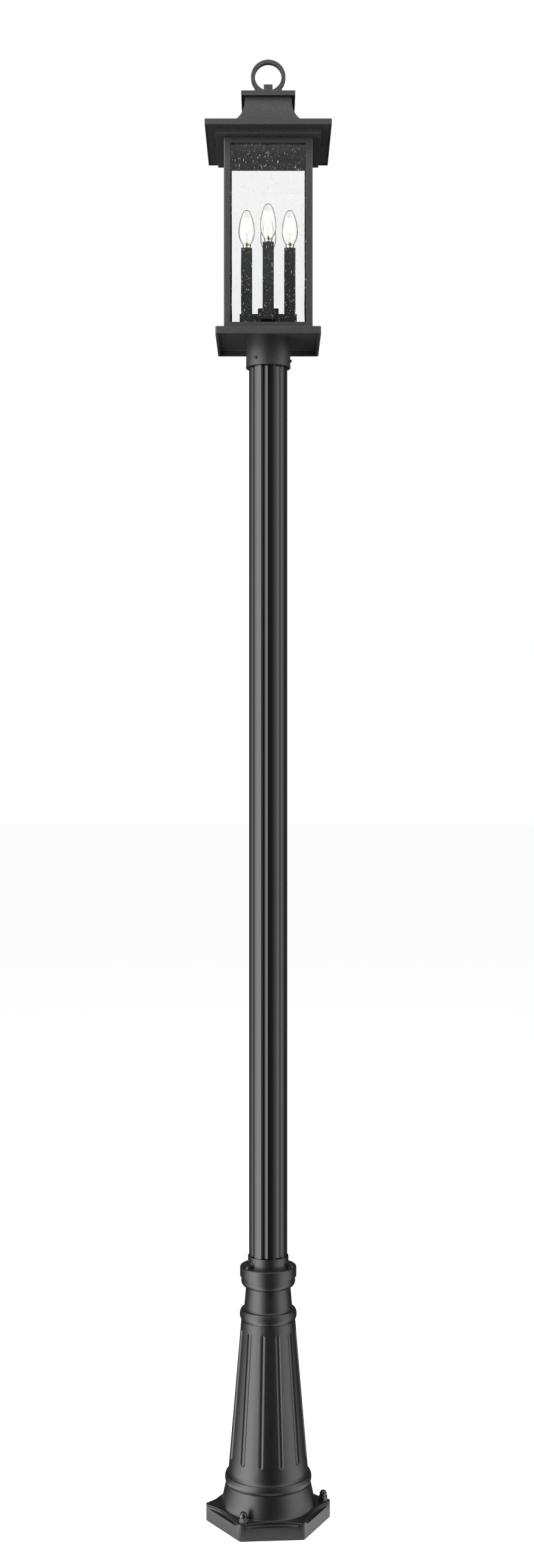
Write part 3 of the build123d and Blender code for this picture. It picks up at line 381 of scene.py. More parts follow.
def make_ring_tree():
    """Pieces set round a circle, each a turned copy of the mesh that the tree is given."""
    tree = bpy.data.node_groups.new("pieces_round_a_circle", "GeometryNodeTree")
    given, made = name_sockets(
        tree,
        {
            "Piece": ("Geometry", None),
            "Count": ("Int", 3),
            "Centre": ("Vector", (0, 0, 0)),
            "Circle": ("Float", 0.1),
            "First Angle": ("Float", 0.0),
            "Finish": ("Material", None),
        },
        {"Pieces": "Geometry"},
    )
    number = add_node(tree, "GeometryNodeInputIndex").outputs[0]
    share = reckon(tree, "DIVIDE", 2 * pi, given["Count"])
    angle = reckon(tree, "MULTIPLY_ADD", number, share, given["First Angle"])
    outward = add_node(
        tree,
        "ShaderNodeCombineXYZ",
        {"X": reckon(tree, "COSINE", angle), "Y": reckon(tree, "SINE", angle)},
    )
    place = add_node(
        tree,
        "ShaderNodeVectorMath",
        {0: outward.outputs[0], 1: given["Circle"], 2: given["Centre"]},
        operation="MULTIPLY_ADD",
    )
    points = add_node(
        tree, "GeometryNodePoints", {"Count": given["Count"], "Position": place.outputs[0]}
    )
    facing = add_node(tree, "ShaderNodeCombineXYZ", {"Z": angle})
    turn = add_node(tree, "FunctionNodeEulerToRotation", {"Euler": facing.outputs[0]})
    copies = add_node(
        tree,
        "GeometryNodeInstanceOnPoints",
        {"Points": points.outputs[0], "Instance": given["Piece"], "Rotation": turn.outputs[0]},
    )
    return end_tree(tree, copies.outputs[0], given["Finish"], made["Pieces"])


ring_tree = make_ring_tree()


def grow(name, mesh, tree, sizes):
    """A piece that a geometry tree makes of a mesh, with the tree's inputs given by name."""
    piece = new_piece(name, mesh)
    modifier = piece.modifiers.new(tree.name, "NODES")
    modifier.node_group = tree
    for item in tree.interface.items_tree:
        if item.in_out == "INPUT" and item.name in sizes:
            modifier[item.identifier] = sizes[item.name]
    keep_mesh(piece)
    return piece


def set_round(
    name, mesh, material, body, slot, replaced, count, circle=0, turn=0, level=0, centre=(0, 0)
):
    """Copies of a mesh set round a circle as one piece."""
    sizes = {
        "Count": count,
        "Centre": (centre[0], centre[1], level),
        "Circle": circle,
        "First Angle": radians(turn),
        "Finish": material,
    }
    settle(grow(name, mesh, ring_tree, sizes), body, slot, *replaced)


nut_coat = powder_coat(
    "fastener_black",
    nut_black,
    nut_glint,
    grain_size=0.0005,
    density=0.4,
    relief=0.000008,
    gloss=(0.17, 0.12),
    patch_size=0.004,
    skin=0.00002,
)
washer = turned(
    "anchor_washer",
    [
        (washer_hole, 0),
        (washer_radius, 0),
        (washer_radius, washer_thickness - washer_edge),
        (washer_radius - washer_edge, washer_thickness),
        (washer_hole + washer_edge, washer_thickness),
        (washer_hole, washer_thickness - washer_edge),
    ],
)
set_round(
    "anchor_washers_pressed",
    washer,
    nut_coat,
    "base",
    "fastener_black",
    ["anchor_washers"],
    count=anchor_count,
    circle=anchor_circle,
    turn=anchor_turn,
    level=washer_low.z,
)
nut_slope = [
    (
        nut_face + (nut_corner - nut_face) * step / nut_steps,
        nut_height - nut_chamfer * step / nut_steps,
        nut_half,
    )
    for step in range(nut_steps + 1)
]
domed_nut = turned(
    "domed_nut",
    arc(0, dome_spring, dome_radius, 90, 0, steps=12)
    + [(dome_radius, nut_height + dome_fillet), (dome_radius + dome_fillet / 4, nut_height)]
    + nut_slope
    + [(nut_corner, 0, nut_half), (nut_thread, 0)]
    + [(nut_thread, nut_height + dome_roof), (0, nut_height + 2 * dome_roof)],
    segments=72,
)
set_round(
    "anchor_nuts_domed",
    domed_nut,
    nut_coat,
    "base",
    "fastener_black",
    ["anchor_nuts"],
    count=anchor_count,
    circle=anchor_circle,
    turn=anchor_turn,
    level=nut_low.z,
)

# Socket screws. Slotted pan heads of steel through the ears of the post socket, which hold it
# down on the casting's lip. They have the nuts' glossy black.
dress("socket_screws", nut_coat)

# Set screws of socket and fitter. Cup point screws with a domed head and a hexagon recess, which
# grip the post from the sides of both collars.
grip_reach = 0.0025
grip_head = 0.003
grip_shank = 0.0025
grip_point = 0.00175
grip_recess = 0.0015
grip_recess_depth = 0.0015
grip_edge = 0.0007
socket_grip_count = 2
socket_grip_turn = -154.0
fitter_grip_count = 3
fitter_grip_turn = -124.0
post_radius = 0.0381


def laid_out(mesh):
    """A piece made along +Z, laid along +X."""
    for vertex in mesh.vertices:
        vertex.co = Vector((vertex.co.z, -vertex.co.y, vertex.co.x))
    return mesh


def grip_screws(name, node, count, turn):
    """The set screws of one collar, from their CAD node's place."""
    low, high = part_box(node)
    level = (low.z + high.z) / 2
    reach = max(Vector((v.co.x, v.co.y)).length for v in nodes[node].data.vertices)
    head = reach - grip_reach
    corner = grip_recess / cos(pi / 6)
    screw = turned(
        name + "_screw",
        [(0, post_radius), (grip_point, post_radius), (grip_shank, post_radius + grip_edge)]
        + [(grip_shank, head), (grip_head, head), (grip_head, head + grip_reach - 2 * grip_edge)]
        + arc(grip_head - 2 * grip_edge, reach - 2 * grip_edge, 2 * grip_edge, 0, 90)[1:]
        + [(corner, reach, grip_recess), (corner, reach - grip_recess_depth, grip_recess)]
        + [(0, reach - grip_recess_depth - grip_recess / 2)],
        segments=36,
    )
    set_round(
        name,
        laid_out(screw),
        nut_coat,
        nodes[node]["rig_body"],
        "fastener_black",
        [node],
        count=count,
        turn=turn,
        level=level,
    )


grip_screws("socket_grip_screws", "socket_set_screws", socket_grip_count, socket_grip_turn)
grip_screws("fitter_grip_screws", "fitter_set_screws", fitter_grip_count, fitter_grip_turn)

# Post. One length of extruded aluminium tube with eight stepped flutes and a round cable way. Its
# coat is smooth and glossier than the castings', over fine lines that the die drew along it.
post_black = (0.0045, 0.0045, 0.0047, 1)
post_glint = (0.013, 0.013, 0.0135, 1)
post_low, post_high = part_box("post_tube")
post_bore = 0.032
flute_count = 8
flute_width = 0.013
flute_step = 0.0018
flute_ledge = 0.0010
flute_hollow = 0.0013
flute_lip = 0.0009
flute_turn = radians(-101.2)
post_columns = 960
die_line_width = 0.0006
die_line_length = 0.6
die_line_relief = 0.000004
seam_weld = 0.00001


def make_fluted_tree():
    """A tube with stepped, hollow flutes, rolled from a flat sheet of rows and columns. Its five
    rows are the outside's foot and top, the bore's top and foot, and the outside's foot again."""
    tree = bpy.data.node_groups.new("fluted_tube", "GeometryNodeTree")
    given, made = name_sockets(
        tree,
        {
            "Columns": ("Int", 960),
            "Foot Level": ("Float", 0.0),
            "Length": ("Float", 1.0),
            "Radius": ("Float", 0.04),
            "Bore": ("Float", 0.03),
            "Flutes": ("Int", 8),
            "First Angle": ("Float", 0.0),
            "Flute Width": ("Float", 0.01),
            "Step": ("Float", 0.002),
            "Ledge": ("Float", 0.001),
            "Hollow": ("Float", 0.001),
            "Lip": ("Float", 0.001),
            "Finish": ("Material", None),
        },
        {"Tube": "Geometry"},
    )
    sheet = add_node(
        tree,
        "GeometryNodeMeshGrid",
        {"Size X": 1.0, "Size Y": 4.0, "Vertices X": given["Columns"], "Vertices Y": 5},
    )
    place = add_node(tree, "GeometryNodeInputPosition").outputs[0]
    across = add_node(tree, "ShaderNodeSeparateXYZ", {0: place})
    angle = reckon(tree, "MULTIPLY", across.outputs["X"], 2 * pi)
    # Rows 2 and 3 lie in the bore, and rows 1 and 2 at the top.
    row = reckon(tree, "ADD", across.outputs["Y"], 2.0)
    inside = reckon(tree, "COMPARE", row, 2.5, 0.6)
    above = reckon(tree, "COMPARE", row, 1.5, 0.6)
    pitch = reckon(tree, "DIVIDE", 2 * pi, given["Flutes"])
    away = reckon(tree, "SUBTRACT", angle, given["First Angle"])
    half_pitch = reckon(tree, "DIVIDE", pitch, 2.0)
    bearing = reckon(tree, "WRAP", away, half_pitch, reckon(tree, "MULTIPLY", half_pitch, -1.0))
    swing = reckon(tree, "MULTIPLY", reckon(tree, "SINE", bearing), given["Radius"])
    side = reckon(tree, "ABSOLUTE", swing)
    half = reckon(tree, "DIVIDE", given["Flute Width"], 2.0)
    lip = reckon(tree, "DIVIDE", given["Lip"], 2.0)
    wall = add_node(
        tree,
        "ShaderNodeMapRange",
        {
            "Value": side,
            "From Min": reckon(tree, "ADD", half, lip),
            "From Max": reckon(tree, "SUBTRACT", half, lip),
        },
        interpolation_type="SMOOTHSTEP",
    ).outputs["Result"]
    share = reckon(tree, "DIVIDE", side, reckon(tree, "SUBTRACT", half, given["Ledge"]))
    dished = reckon(tree, "SUBTRACT", 1.0, reckon(tree, "POWER", share, 2.0))
    bowl = reckon(tree, "MAXIMUM", dished, 0.0)
    cut = reckon(
        tree, "MULTIPLY_ADD", wall, given["Step"], reckon(tree, "MULTIPLY", bowl, given["Hollow"])
    )
    outer = reckon(tree, "SUBTRACT", given["Radius"], cut)
    to_bore = reckon(tree, "MULTIPLY", inside, reckon(tree, "SUBTRACT", given["Bore"], outer))
    radius = reckon(tree, "ADD", outer, to_bore)
    level = reckon(tree, "MULTIPLY_ADD", above, given["Length"], given["Foot Level"])
    rolled = add_node(
        tree,
        "ShaderNodeCombineXYZ",
        {
            "X": reckon(tree, "MULTIPLY", radius, reckon(tree, "COSINE", angle)),
            "Y": reckon(tree, "MULTIPLY", radius, reckon(tree, "SINE", angle)),
            "Z": level,
        },
    )
    tube = add_node(
        tree,
        "GeometryNodeSetPosition",
        {"Geometry": sheet.outputs["Mesh"], "Position": rolled.outputs[0]},
    )
    closed = add_node(
        tree, "GeometryNodeMergeByDistance", {"Geometry": tube.outputs[0], "Distance": seam_weld}
    )
    return end_tree(tree, closed.outputs[0], given["Finish"], made["Tube"])


post_coat = powder_coat(
    "post_black",
    post_black,
    post_glint,
    grain_size=0.0007,
    density=0.35,
    relief=0.000004,
    gloss=(0.17, 0.05),
    patch_size=0.03,
    skin=0.0,
)


def draw_die_lines(material):
    """Adds the lines of the extrusion, which run along the tube, to a coat's relief."""
    tree = material.node_tree
    place = add_node(tree, "ShaderNodeTexCoord").outputs["Object"]
    across = 1 / die_line_width
    squeezed = add_node(
        tree,
        "ShaderNodeMapping",
        {"Vector": place, "Scale": (across, across, 1 / die_line_length)},
    )
    lines = add_node(
        tree, "ShaderNodeTexNoise", {"Vector": squeezed.outputs[0], "Scale": 1.0, "Detail": 1.0}
    )
    add_relief(tree, tree.nodes["Principled BSDF"], lines.outputs["Fac"], die_line_relief)


draw_die_lines(post_coat)
post_sizes = {
    "Columns": post_columns + 1,
    "Foot Level": post_low.z,
    "Length": post_high.z - post_low.z,
    "Radius": post_radius,
    "Bore": post_bore,
    "Flutes": flute_count,
    "First Angle": flute_turn,
    "Flute Width": flute_width,
    "Step": flute_step,
    "Ledge": flute_ledge,
    "Hollow": flute_hollow,
    "Lip": flute_lip,
    "Finish": post_coat,
}
post = grow("post_fluted", bpy.data.meshes.new("post_sheet"), make_fluted_tree(), post_sizes)
settle(post, "post", "post_black", "post_tube")

# Fitter, plate and cage. Cast and extruded aluminium, screwed together and then coated as one with
# a sand texture powder: matt, a shade greyer than the post, with grains that catch the light.
lantern_black = (0.014, 0.014, 0.0143, 1)
lantern_glint = (0.098, 0.098, 0.100, 1)
lantern_coat = powder_coat(
    "lantern_black",
    lantern_black,
    lantern_glint,
    grain_size=0.0009,
    density=0.75,
    relief=0.00006,
    gloss=(0.43, 0.08),
    patch_size=0.05,
    skin=0.0,
)
edge_round = 0.0007
cage_pieces = ("corner_posts", "bottom_rails", "top_rails", "crown_frame")
for name in ("post_fitter", "base_plate") + cage_pieces:
    eased(name, lantern_coat, "lantern_black", edge_round)

# Nipple, its nuts and the finial's stud. Threaded steel parts that are bought in, bright zinc
# plated, with the plating's faint spangle and dull patches.
zinc_colour = (0.55, 0.55, 0.53, 1)
zinc_dull = (0.36, 0.36, 0.345, 1)
zinc_spangle = 0.003
zinc, zinc_tree, zinc_shader = new_material("zinc_steel")
zinc_place = add_node(zinc_tree, "ShaderNodeTexCoord").outputs["Object"]
zinc_cells = add_node(
    zinc_tree, "ShaderNodeTexVoronoi", {"Vector": zinc_place, "Scale": 1 / zinc_spangle}
)
add_gloss(zinc_tree, zinc_shader, roughness=0.34, spread=0.22, patch_size=0.006)
zinc_shade = mix_colours(zinc_tree, zinc_cells.outputs["Color"], zinc_dull, zinc_colour)
zinc_tree.links.new(zinc_shade, zinc_shader.inputs["Base Color"])
zinc_shader.inputs["Metallic"].default_value = 1.0
for name in ("cable_nipple", "nipple_nuts", "finial_stud"):
    dress(name, zinc)

# Clips, strap and its fastenings. Folded and punched steel, coated with the lantern, with a nut
# and two screws in the fasteners' glossy black.
clip_edge = 0.0002
for name in ("glass_clips", "cross_strap"):
    eased(name, lantern_coat, "lantern_black", clip_edge)
for name in ("strap_nut", "strap_screws"):
    dress(name, nut_coat)

# Panes. Four sheets of clear seeded glass: rolled while soft, so the faces ripple and the gas
# seeds in the glass are drawn out upwards. Each stands in the corner bars' rebates.
glass_tint = (0.997, 0.999, 0.998, 1)
glass_shade = (0.67, 0.68, 0.68, 1)
glass_index = 1.47
pane_gloss = 0.06
pane_columns = 56
pane_rows = 132
pane_ripple = 0.00006
ripple_width = 0.02
ripple_height = 0.055
first_batch = 3
seed_count = 2100
seed_least = 0.00015
seed_most = 0.00052
seed_stretch = 6.5
seed_lean = 0.16
seed_room = (0.14, 0.48, 0.49)
seed_bias = 2.5
seed_redraw = 10.0
seed_segments = 6
seed_rings = 4
# The seeds' whitish colour and their faint glow are painted glints. They stand in for the light
# that real gas bubbles catch and throw back.
seed_painted_sheen = (0.92, 0.93, 0.93, 1)
seed_clearness = 0.66
seed_index = 1.01
seed_painted_glint = 0.08


def face_side(tree, geometry, centre, turn):
    """Moves what faces +X to its place, then turns it about +Z to its side of the cage."""
    moved = add_node(tree, "GeometryNodeTransform", {"Geometry": geometry, "Translation": centre})
    about = add_node(tree, "ShaderNodeCombineXYZ", {"Z": turn})
    faced = add_node(
        tree,
        "GeometryNodeTransform",
        {"Geometry": moved.outputs[0], "Rotation": about.outputs[0]},
    )
    return faced.outputs[0]


def make_pane_tree():
    """An upright sheet of glass facing +X, whose two faces ripple each on its own."""
    tree = bpy.data.node_groups.new("rippled_pane", "GeometryNodeTree")
    given, made = name_sockets(
        tree,
        {
            "Centre": ("Vector", (0, 0, 0)),
            "Size": ("Vector", (0.003, 0.15, 0.37)),
            "Turn": ("Float", 0.0),
            "Ripple": ("Float", 0.0001),
            "Ripple Size": ("Vector", (1.0, 0.02, 0.04)),
            "Batch": ("Int", 0),
            "Finish": ("Material", None),
        },
        {"Pane": "Geometry"},
    )
    slab = add_node(
        tree,
        "GeometryNodeMeshCube",
        {
            "Size": given["Size"],
            "Vertices X": 2,
            "Vertices Y": pane_columns,
            "Vertices Z": pane_rows,
        },
    )
    place = add_node(tree, "GeometryNodeInputPosition").outputs[0]
    drawn = add_node(
        tree, "ShaderNodeVectorMath", {0: place, 1: given["Ripple Size"]}, operation="DIVIDE"
    )
    melt = add_node(
        tree,
        "ShaderNodeTexNoise",
        {"Vector": drawn.outputs[0], "W": given["Batch"], "Scale": 1.0, "Detail": 1.0},
        noise_dimensions="4D",
    )
    swell = reckon(tree, "MULTIPLY", reckon(tree, "SUBTRACT", melt.outputs["Fac"], 0.5), 2.0)
    ripple = add_node(
        tree, "ShaderNodeCombineXYZ", {"X": reckon(tree, "MULTIPLY", swell, given["Ripple"])}
    )
    sheet = add_node(
        tree,
        "GeometryNodeSetPosition",
        {"Geometry": slab.outputs["Mesh"], "Offset": ripple.outputs[0]},
    )
    faced = face_side(tree, sheet.outputs[0], given["Centre"], given["Turn"])
    return end_tree(tree, faced, given["Finish"], made["Pane"])


def make_seed_tree():
    """The seeds of a pane that faces +X: small bubbles, drawn out upwards and a little aslant."""
    tree = bpy.data.node_groups.new("drawn_seeds", "GeometryNodeTree")
    given, made = name_sockets(
        tree,
        {
            "Centre": ("Vector", (0, 0, 0)),
            "Size": ("Vector", (0.003, 0.15, 0.37)),
            "Turn": ("Float", 0.0),
            "Seeds": ("Int", 100),
            "Least Seed": ("Float", 0.0002),
            "Most Seed": ("Float", 0.0008),
            "Stretch": ("Float", 4.0),
            "Lean": ("Float", 0.1),
            "Batch": ("Int", 0),
            "Finish": ("Material", None),
        },
        {"Seeds": "Geometry"},
    )
    room = add_node(
        tree, "ShaderNodeVectorMath", {0: given["Size"], 1: seed_room}, operation="MULTIPLY"
    )
    far_corner = add_node(
        tree, "ShaderNodeVectorMath", {0: room.outputs[0], 1: (-1, -1, -1)}, operation="MULTIPLY"
    )
    spot = add_node(
        tree,
        "FunctionNodeRandomValue",
        {0: far_corner.outputs[0], 1: room.outputs[0], "Seed": given["Batch"]},
        data_type="FLOAT_VECTOR",
    )
    points = add_node(
        tree, "GeometryNodePoints", {"Count": given["Seeds"], "Position": spot.outputs[0]}
    )
    chance = add_node(
        tree,
        "FunctionNodeRandomValue",
        {"Seed": reckon(tree, "ADD", given["Batch"], seed_redraw)},
        data_type="FLOAT_VECTOR",
    )
    luck = add_node(tree, "ShaderNodeSeparateXYZ", {0: chance.outputs[0]})
    size = reckon(
        tree,
        "MULTIPLY_ADD",
        reckon(tree, "POWER", luck.outputs["X"], seed_bias),
        reckon(tree, "SUBTRACT", given["Most Seed"], given["Least Seed"]),
        given["Least Seed"],
    )
    length = reckon(
        tree,
        "MULTIPLY_ADD",
        reckon(tree, "POWER", luck.outputs["Y"], seed_bias),
        reckon(tree, "SUBTRACT", given["Stretch"], 1.0),
        1.0,
    )
    seed_shape = add_node(
        tree,
        "ShaderNodeCombineXYZ",
        {"X": size, "Y": size, "Z": reckon(tree, "MULTIPLY", size, length)},
    )
    lean = reckon(
        tree, "MULTIPLY", reckon(tree, "SUBTRACT", luck.outputs["Z"], 0.5), given["Lean"]
    )
    tilt = add_node(tree, "ShaderNodeCombineXYZ", {"X": lean})
    tilted = add_node(tree, "FunctionNodeEulerToRotation", {"Euler": tilt.outputs[0]})
    bubble = add_node(
        tree,
        "GeometryNodeMeshUVSphere",
        {"Segments": seed_segments, "Rings": seed_rings, "Radius": 1.0},
    )
    seeds = add_node(
        tree,
        "GeometryNodeInstanceOnPoints",
        {
            "Points": points.outputs[0],
            "Instance": bubble.outputs["Mesh"],
            "Rotation": tilted.outputs[0],
            "Scale": seed_shape.outputs[0],
        },
    )
    faced = face_side(tree, seeds.outputs[0], given["Centre"], given["Turn"])
    return end_tree(tree, faced, given["Finish"], made["Seeds"])


def set_values(shader, values):
    """Sets what is the same all over a surface, on the shader's own sockets."""
    for name, value in values.items():
        shader.inputs[name].default_value = value


def clear_glass(name, tint, shade, index, roughness, patch_size):
    """Clear glass. Light and mirror images pass straight through it, dimmed to a shade."""
    material, tree, shader = new_material(name)
    add_gloss(tree, shader, roughness, roughness, patch_size)
    set_values(shader, {"Base Color": tint, "Transmission Weight": 1.0, "IOR": index})
    lit_through = add_node(tree, "ShaderNodeBsdfTransparent", {"Color": shade})
    path = add_node(tree, "ShaderNodeLightPath").outputs
    lighting = reckon(tree, "MAXIMUM", path["Is Shadow Ray"], path["Is Diffuse Ray"])
    mirrored = reckon(tree, "SUBTRACT", path["Is Glossy Ray"], path["Is Transmission Ray"])
    unseen = reckon(tree, "MAXIMUM", lighting, mirrored)
    mixed = add_node(
        tree,
        "ShaderNodeMixShader",
        {0: unseen, 1: shader.outputs["BSDF"], 2: lit_through.outputs["BSDF"]},
    )
    tree.links.new(mixed.outputs[0], tree.nodes["Material Output"].inputs["Surface"])
    return material


pane_glass = clear_glass(
    "seeded_glass", glass_tint, glass_shade, glass_index, roughness=0.006, patch_size=0.05
)
pane_shader = pane_glass.node_tree.nodes["Principled BSDF"]
set_values(pane_shader, {"Specular IOR Level": pane_gloss})
seed_glass, seed_nodes, seed_shader = new_material("glass_seeds")
add_gloss(seed_nodes, seed_shader, roughness=0.25, spread=0.4, patch_size=0.004)
# Painted glints: the seeds' whitish colour and their glow stand in for the light that bubbles
# reflect.
set_values(
    seed_shader,
    {
        "Base Color": seed_painted_sheen,
        "Transmission Weight": seed_clearness,
        "IOR": seed_index,
        "Emission Color": (1, 1, 1, 1),
        "Emission Strength": seed_painted_glint,
    },
)
pane_tree = make_pane_tree()
seed_tree = make_seed_tree()
pane_low, pane_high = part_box("glass_right")
for number, side in enumerate(("right", "back", "left", "front")):
    place = {
        "Centre": (pane_low + pane_high) / 2,
        "Size": pane_high - pane_low,
        "Turn": number * pi / 2,
        "Batch": first_batch + number,
    }
    ripples = {
        "Ripple": pane_ripple,
        "Ripple Size": (pane_ripple, ripple_width, ripple_height),
        "Finish": pane_glass,
    }
    drawing = {
        "Seeds": seed_count,
        "Least Seed": seed_least,
        "Most Seed": seed_most,
        "Stretch": seed_stretch,
        "Lean": seed_lean,
        "Finish": seed_glass,
    }
    pane = grow("pane_" + side, bpy.data.meshes.new("pane_sheet"), pane_tree, place | ripples)
    pane.data.shade_smooth()
    pane.data.set_sharp_from_angle(angle=radians(crease_angle))
    settle(pane, "lantern", "seeded_glass", "glass_" + side)
    seeds = grow("seeds_" + side, bpy.data.meshes.new("seed_batch"), seed_tree, place | drawing)
    seeds.data.shade_smooth()
    settle(seeds, "lantern", "seeded_glass")

# Lamp cluster. A square box with a lid, four square arms and four square candle covers, folded
# and cast in aluminium and coated with the lantern.
for name in ("cluster_hub", "hub_cover", "lamp_arms", "candle_sleeves"):
    eased(name, lantern_coat, "lantern_black", edge_round)

# Lampholders, terminal block and leads. Black phenolic mouldings with brass contacts, and leads
# in a white heatproof covering, all hidden in the covers, the arms and the hub.
phenolic_black = (0.013, 0.012, 0.0115, 1)
phenolic_fleck = (0.05, 0.045, 0.04, 1)
lead_white = (0.62, 0.61, 0.58, 1)
lead_weave = (0.78, 0.77, 0.74, 1)
phenolic = powder_coat(
    "holder_plastic",
    phenolic_black,
    phenolic_fleck,
    grain_size=0.0006,
    density=0.35,
    relief=0.00001,
    gloss=(0.32, 0.10),
    patch_size=0.01,
    skin=0.0,
)
lead_cover = powder_coat(
    "lead_cover",
    lead_white,
    lead_weave,
    grain_size=0.0008,
    density=0.5,
    relief=0.00003,
    gloss=(0.55, 0.10),
    patch_size=0.008,
    skin=0.0,
)
dress("lampholders", phenolic)
dress("terminal_block", phenolic)
dress("lamp_leads", lead_cover)

# Lamps. Flame shaped filament lamps: a clear blown envelope on a drawn brass shell with a rolled
# edge, and inside a glass stem with four coated filament rods between thin support wires.
brass_colour = (0.80, 0.68, 0.50, 1)
brass_light = (0.92, 0.88, 0.80, 1)
brass, brass_tree, brass_shader = new_material("lamp_brass")
brass_drift = add_gloss(brass_tree, brass_shader, roughness=0.14, spread=0.14, patch_size=0.003)
brass_shade = mix_colours(brass_tree, brass_drift["Patches"], brass_colour, brass_light)
brass_tree.links.new(brass_shade, brass_shader.inputs["Base Color"])
brass_shader.inputs["Metallic"].default_value = 1.0
dress("lampholder_contacts", brass)

lamp_index = 1.5
envelope_tint = (1.0, 0.997, 0.99, 1)
envelope_gloss = 0.25
envelope_glow = (1.0, 0.96, 0.90, 1)
envelope_strength = 0.015
envelope = clear_glass(
    "lamp_glass", envelope_tint, envelope_tint, lamp_index, roughness=0.004, patch_size=0.01
)
set_values(
    envelope.node_tree.nodes["Principled BSDF"],
    {
        "Specular IOR Level": envelope_gloss,
        "Emission Color": envelope_glow,
        "Emission Strength": envelope_strength,
    },
)
stem_tint = (0.97, 0.97, 0.95, 1)
stem_glass = clear_glass(
    "lamp_stem_glass", stem_tint, stem_tint, lamp_index, roughness=0.02, patch_size=0.004
)
filament_warm = (1.0, 0.87, 0.62, 1)
filament_hot = (1.0, 0.96, 0.88, 1)
filament_strength = 3.5
filament, filament_tree, filament_shader = new_material("lamp_filament")
filament_grain = add_grain(
    filament_tree, filament_shader, filament_warm, filament_hot, grain_size=0.002, density=1.0
)
filament_tree.links.new(filament_grain["Colour"], filament_shader.inputs["Emission Color"])
set_values(filament_shader, {"Emission Strength": filament_strength, "Roughness": 0.6})

shell_edge = 0.0006
shell_waist = 0.0009
skirt_height = 0.0085
screw_radius = 0.0059
screw_root = 0.0055
screw_start = 0.001
screw_pitch = 0.0025
screw_turns = 7
thread_profile = ((screw_radius, 0.0), (screw_root, 0.3), (screw_root, 0.6), (screw_radius, 0.9))
contact_rise = 0.0035
contact_radius = 0.0025
contact_tip = 0.0018
contact_edge = 0.0004
rod_count = 4
rod_radius = 0.0009
rod_round = 0.00054
rod_end_flat = 0.00036
rod_circle = 0.0052
rod_gap = 0.0016
wire_radius = 0.00025
wire_sides = 8
for side in ("right", "back", "left", "front"):
    body = "lamp_" + side
    base_low, base_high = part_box("bulb_base_" + side)
    glow_low, glow_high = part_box("bulb_filaments_" + side)
    centre = ((base_low + base_high) / 2).xy
    skirt = (base_high.x - base_low.x) / 2
    skirt_foot = base_high.z - skirt_height
    waist = skirt - shell_waist
    threads = [
        (radius, skirt_foot - screw_start - (turn + share) * screw_pitch)
        for turn in range(screw_turns)
        for radius, share in thread_profile
    ]
    shell = turned(
        "lamp_shell",
        [(0, base_high.z), (waist - shell_edge, base_high.z)]
        + arc(skirt - shell_edge, base_high.z - shell_edge, shell_edge, 90, -90)
        + [(waist, base_high.z - 3 * shell_edge), (waist, skirt_foot + 3 * shell_edge)]
        + arc(skirt - shell_edge, skirt_foot + shell_edge, shell_edge, 90, -90)
        + [(screw_radius, skirt_foot)]
        + threads
        + [(screw_root, base_low.z + contact_rise), (contact_radius, base_low.z + contact_edge)]
        + [(contact_tip, base_low.z), (0, base_low.z)],
    )
    set_round(
        "lamp_shell_" + side,
        shell,
        brass,
        body,
        "lamp_brass",
        ["bulb_base_" + side],
        count=1,
        centre=centre,
    )
    dress("bulb_glass_" + side, envelope)
    dress("bulb_stem_" + side, stem_glass)
    rod_foot = glow_low.z + rod_gap
    rod_top = glow_high.z - rod_gap
    rod = turned(
        "filament_rod",
        [(0, rod_foot)]
        + arc(rod_end_flat, rod_foot + rod_round, rod_round, -90, 0, steps=4)
        + arc(rod_end_flat, rod_top - rod_round, rod_round, 0, 90, steps=4)
        + [(0, rod_top)],
        segments=20,
    )
    set_round(
        "filament_rods_" + side,
        rod,
        filament,
        body,
        "lamp_filament",
        ["bulb_filaments_" + side],
        count=rod_count,
        circle=rod_circle,
        centre=centre,
    )
    wires = bmesh.new()
    for level, rod_end in (
        (glow_low.z + wire_radius, rod_foot + rod_radius),
        (glow_high.z - wire_radius, rod_top - rod_radius),
    ):
        corner = Vector((0.0, 0.0, level))
        for start, end in (
            (Vector((-rod_circle, 0.0, level)), corner),
            (corner, Vector((0.0, 0.0, rod_end))),
        ):
            run = end - start
            along = run.to_track_quat("Z", "Y").to_matrix().to_4x4()
            bmesh.ops.create_cone(
                wires,
                cap_ends=True,
                segments=wire_sides,
                radius1=wire_radius,
                radius2=wire_radius,
                depth=run.length + wire_radius,
                matrix=Matrix.Translation((start + end) / 2) @ along,
            )
    set_round(
        "filament_wires_" + side,
        finished("filament_wire", wires),
        brass,
        body,
        "lamp_brass",
        [],
        count=rod_count,
        circle=rod_circle,
        centre=centre,
    )

# Roof. A cast cap with a flat brim, hollow flanks and a square neck, the pan that closes its
# underside, and the four small screws up through the brim that hold the pan.
for name in ("roof_shell", "roof_pan"):
    eased(name, lantern_coat, "lantern_black", edge_round)
pan_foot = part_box("roof_pan")[0].z
screw_low, screw_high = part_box("roof_screws")
brim_screw_count = 4
brim_screw_head = 0.0027
brim_screw_shank = 0.0015
brim_screw_edge = 0.0006
brim_screw_recess = 0.0011
brim_recess_mouth = brim_screw_recess * 1.2
brim_recess_floor = brim_screw_recess * 1.1
brim_screw_reach = pan_foot - screw_low.z
brim_screw = turned(
    "brim_screw",
    [(0, screw_high.z), (brim_screw_shank, screw_high.z), (brim_screw_shank, pan_foot)]
    + [(brim_screw_head, pan_foot), (brim_screw_head, screw_low.z + brim_screw_edge)]
    + [(brim_screw_head - brim_screw_edge, screw_low.z)]
    + [(brim_recess_mouth, screw_low.z, brim_screw_recess)]
    + [(brim_recess_floor, pan_foot - brim_screw_reach / 3, brim_screw_recess)]
    + [(0, pan_foot - brim_screw_reach / 4)],
    segments=24,
)
set_round(
    "brim_screws",
    brim_screw,
    nut_coat,
    "roof",
    "fastener_black",
    ["roof_screws"],
    count=brim_screw_count,
    circle=screw_high.x - brim_screw_head,
)

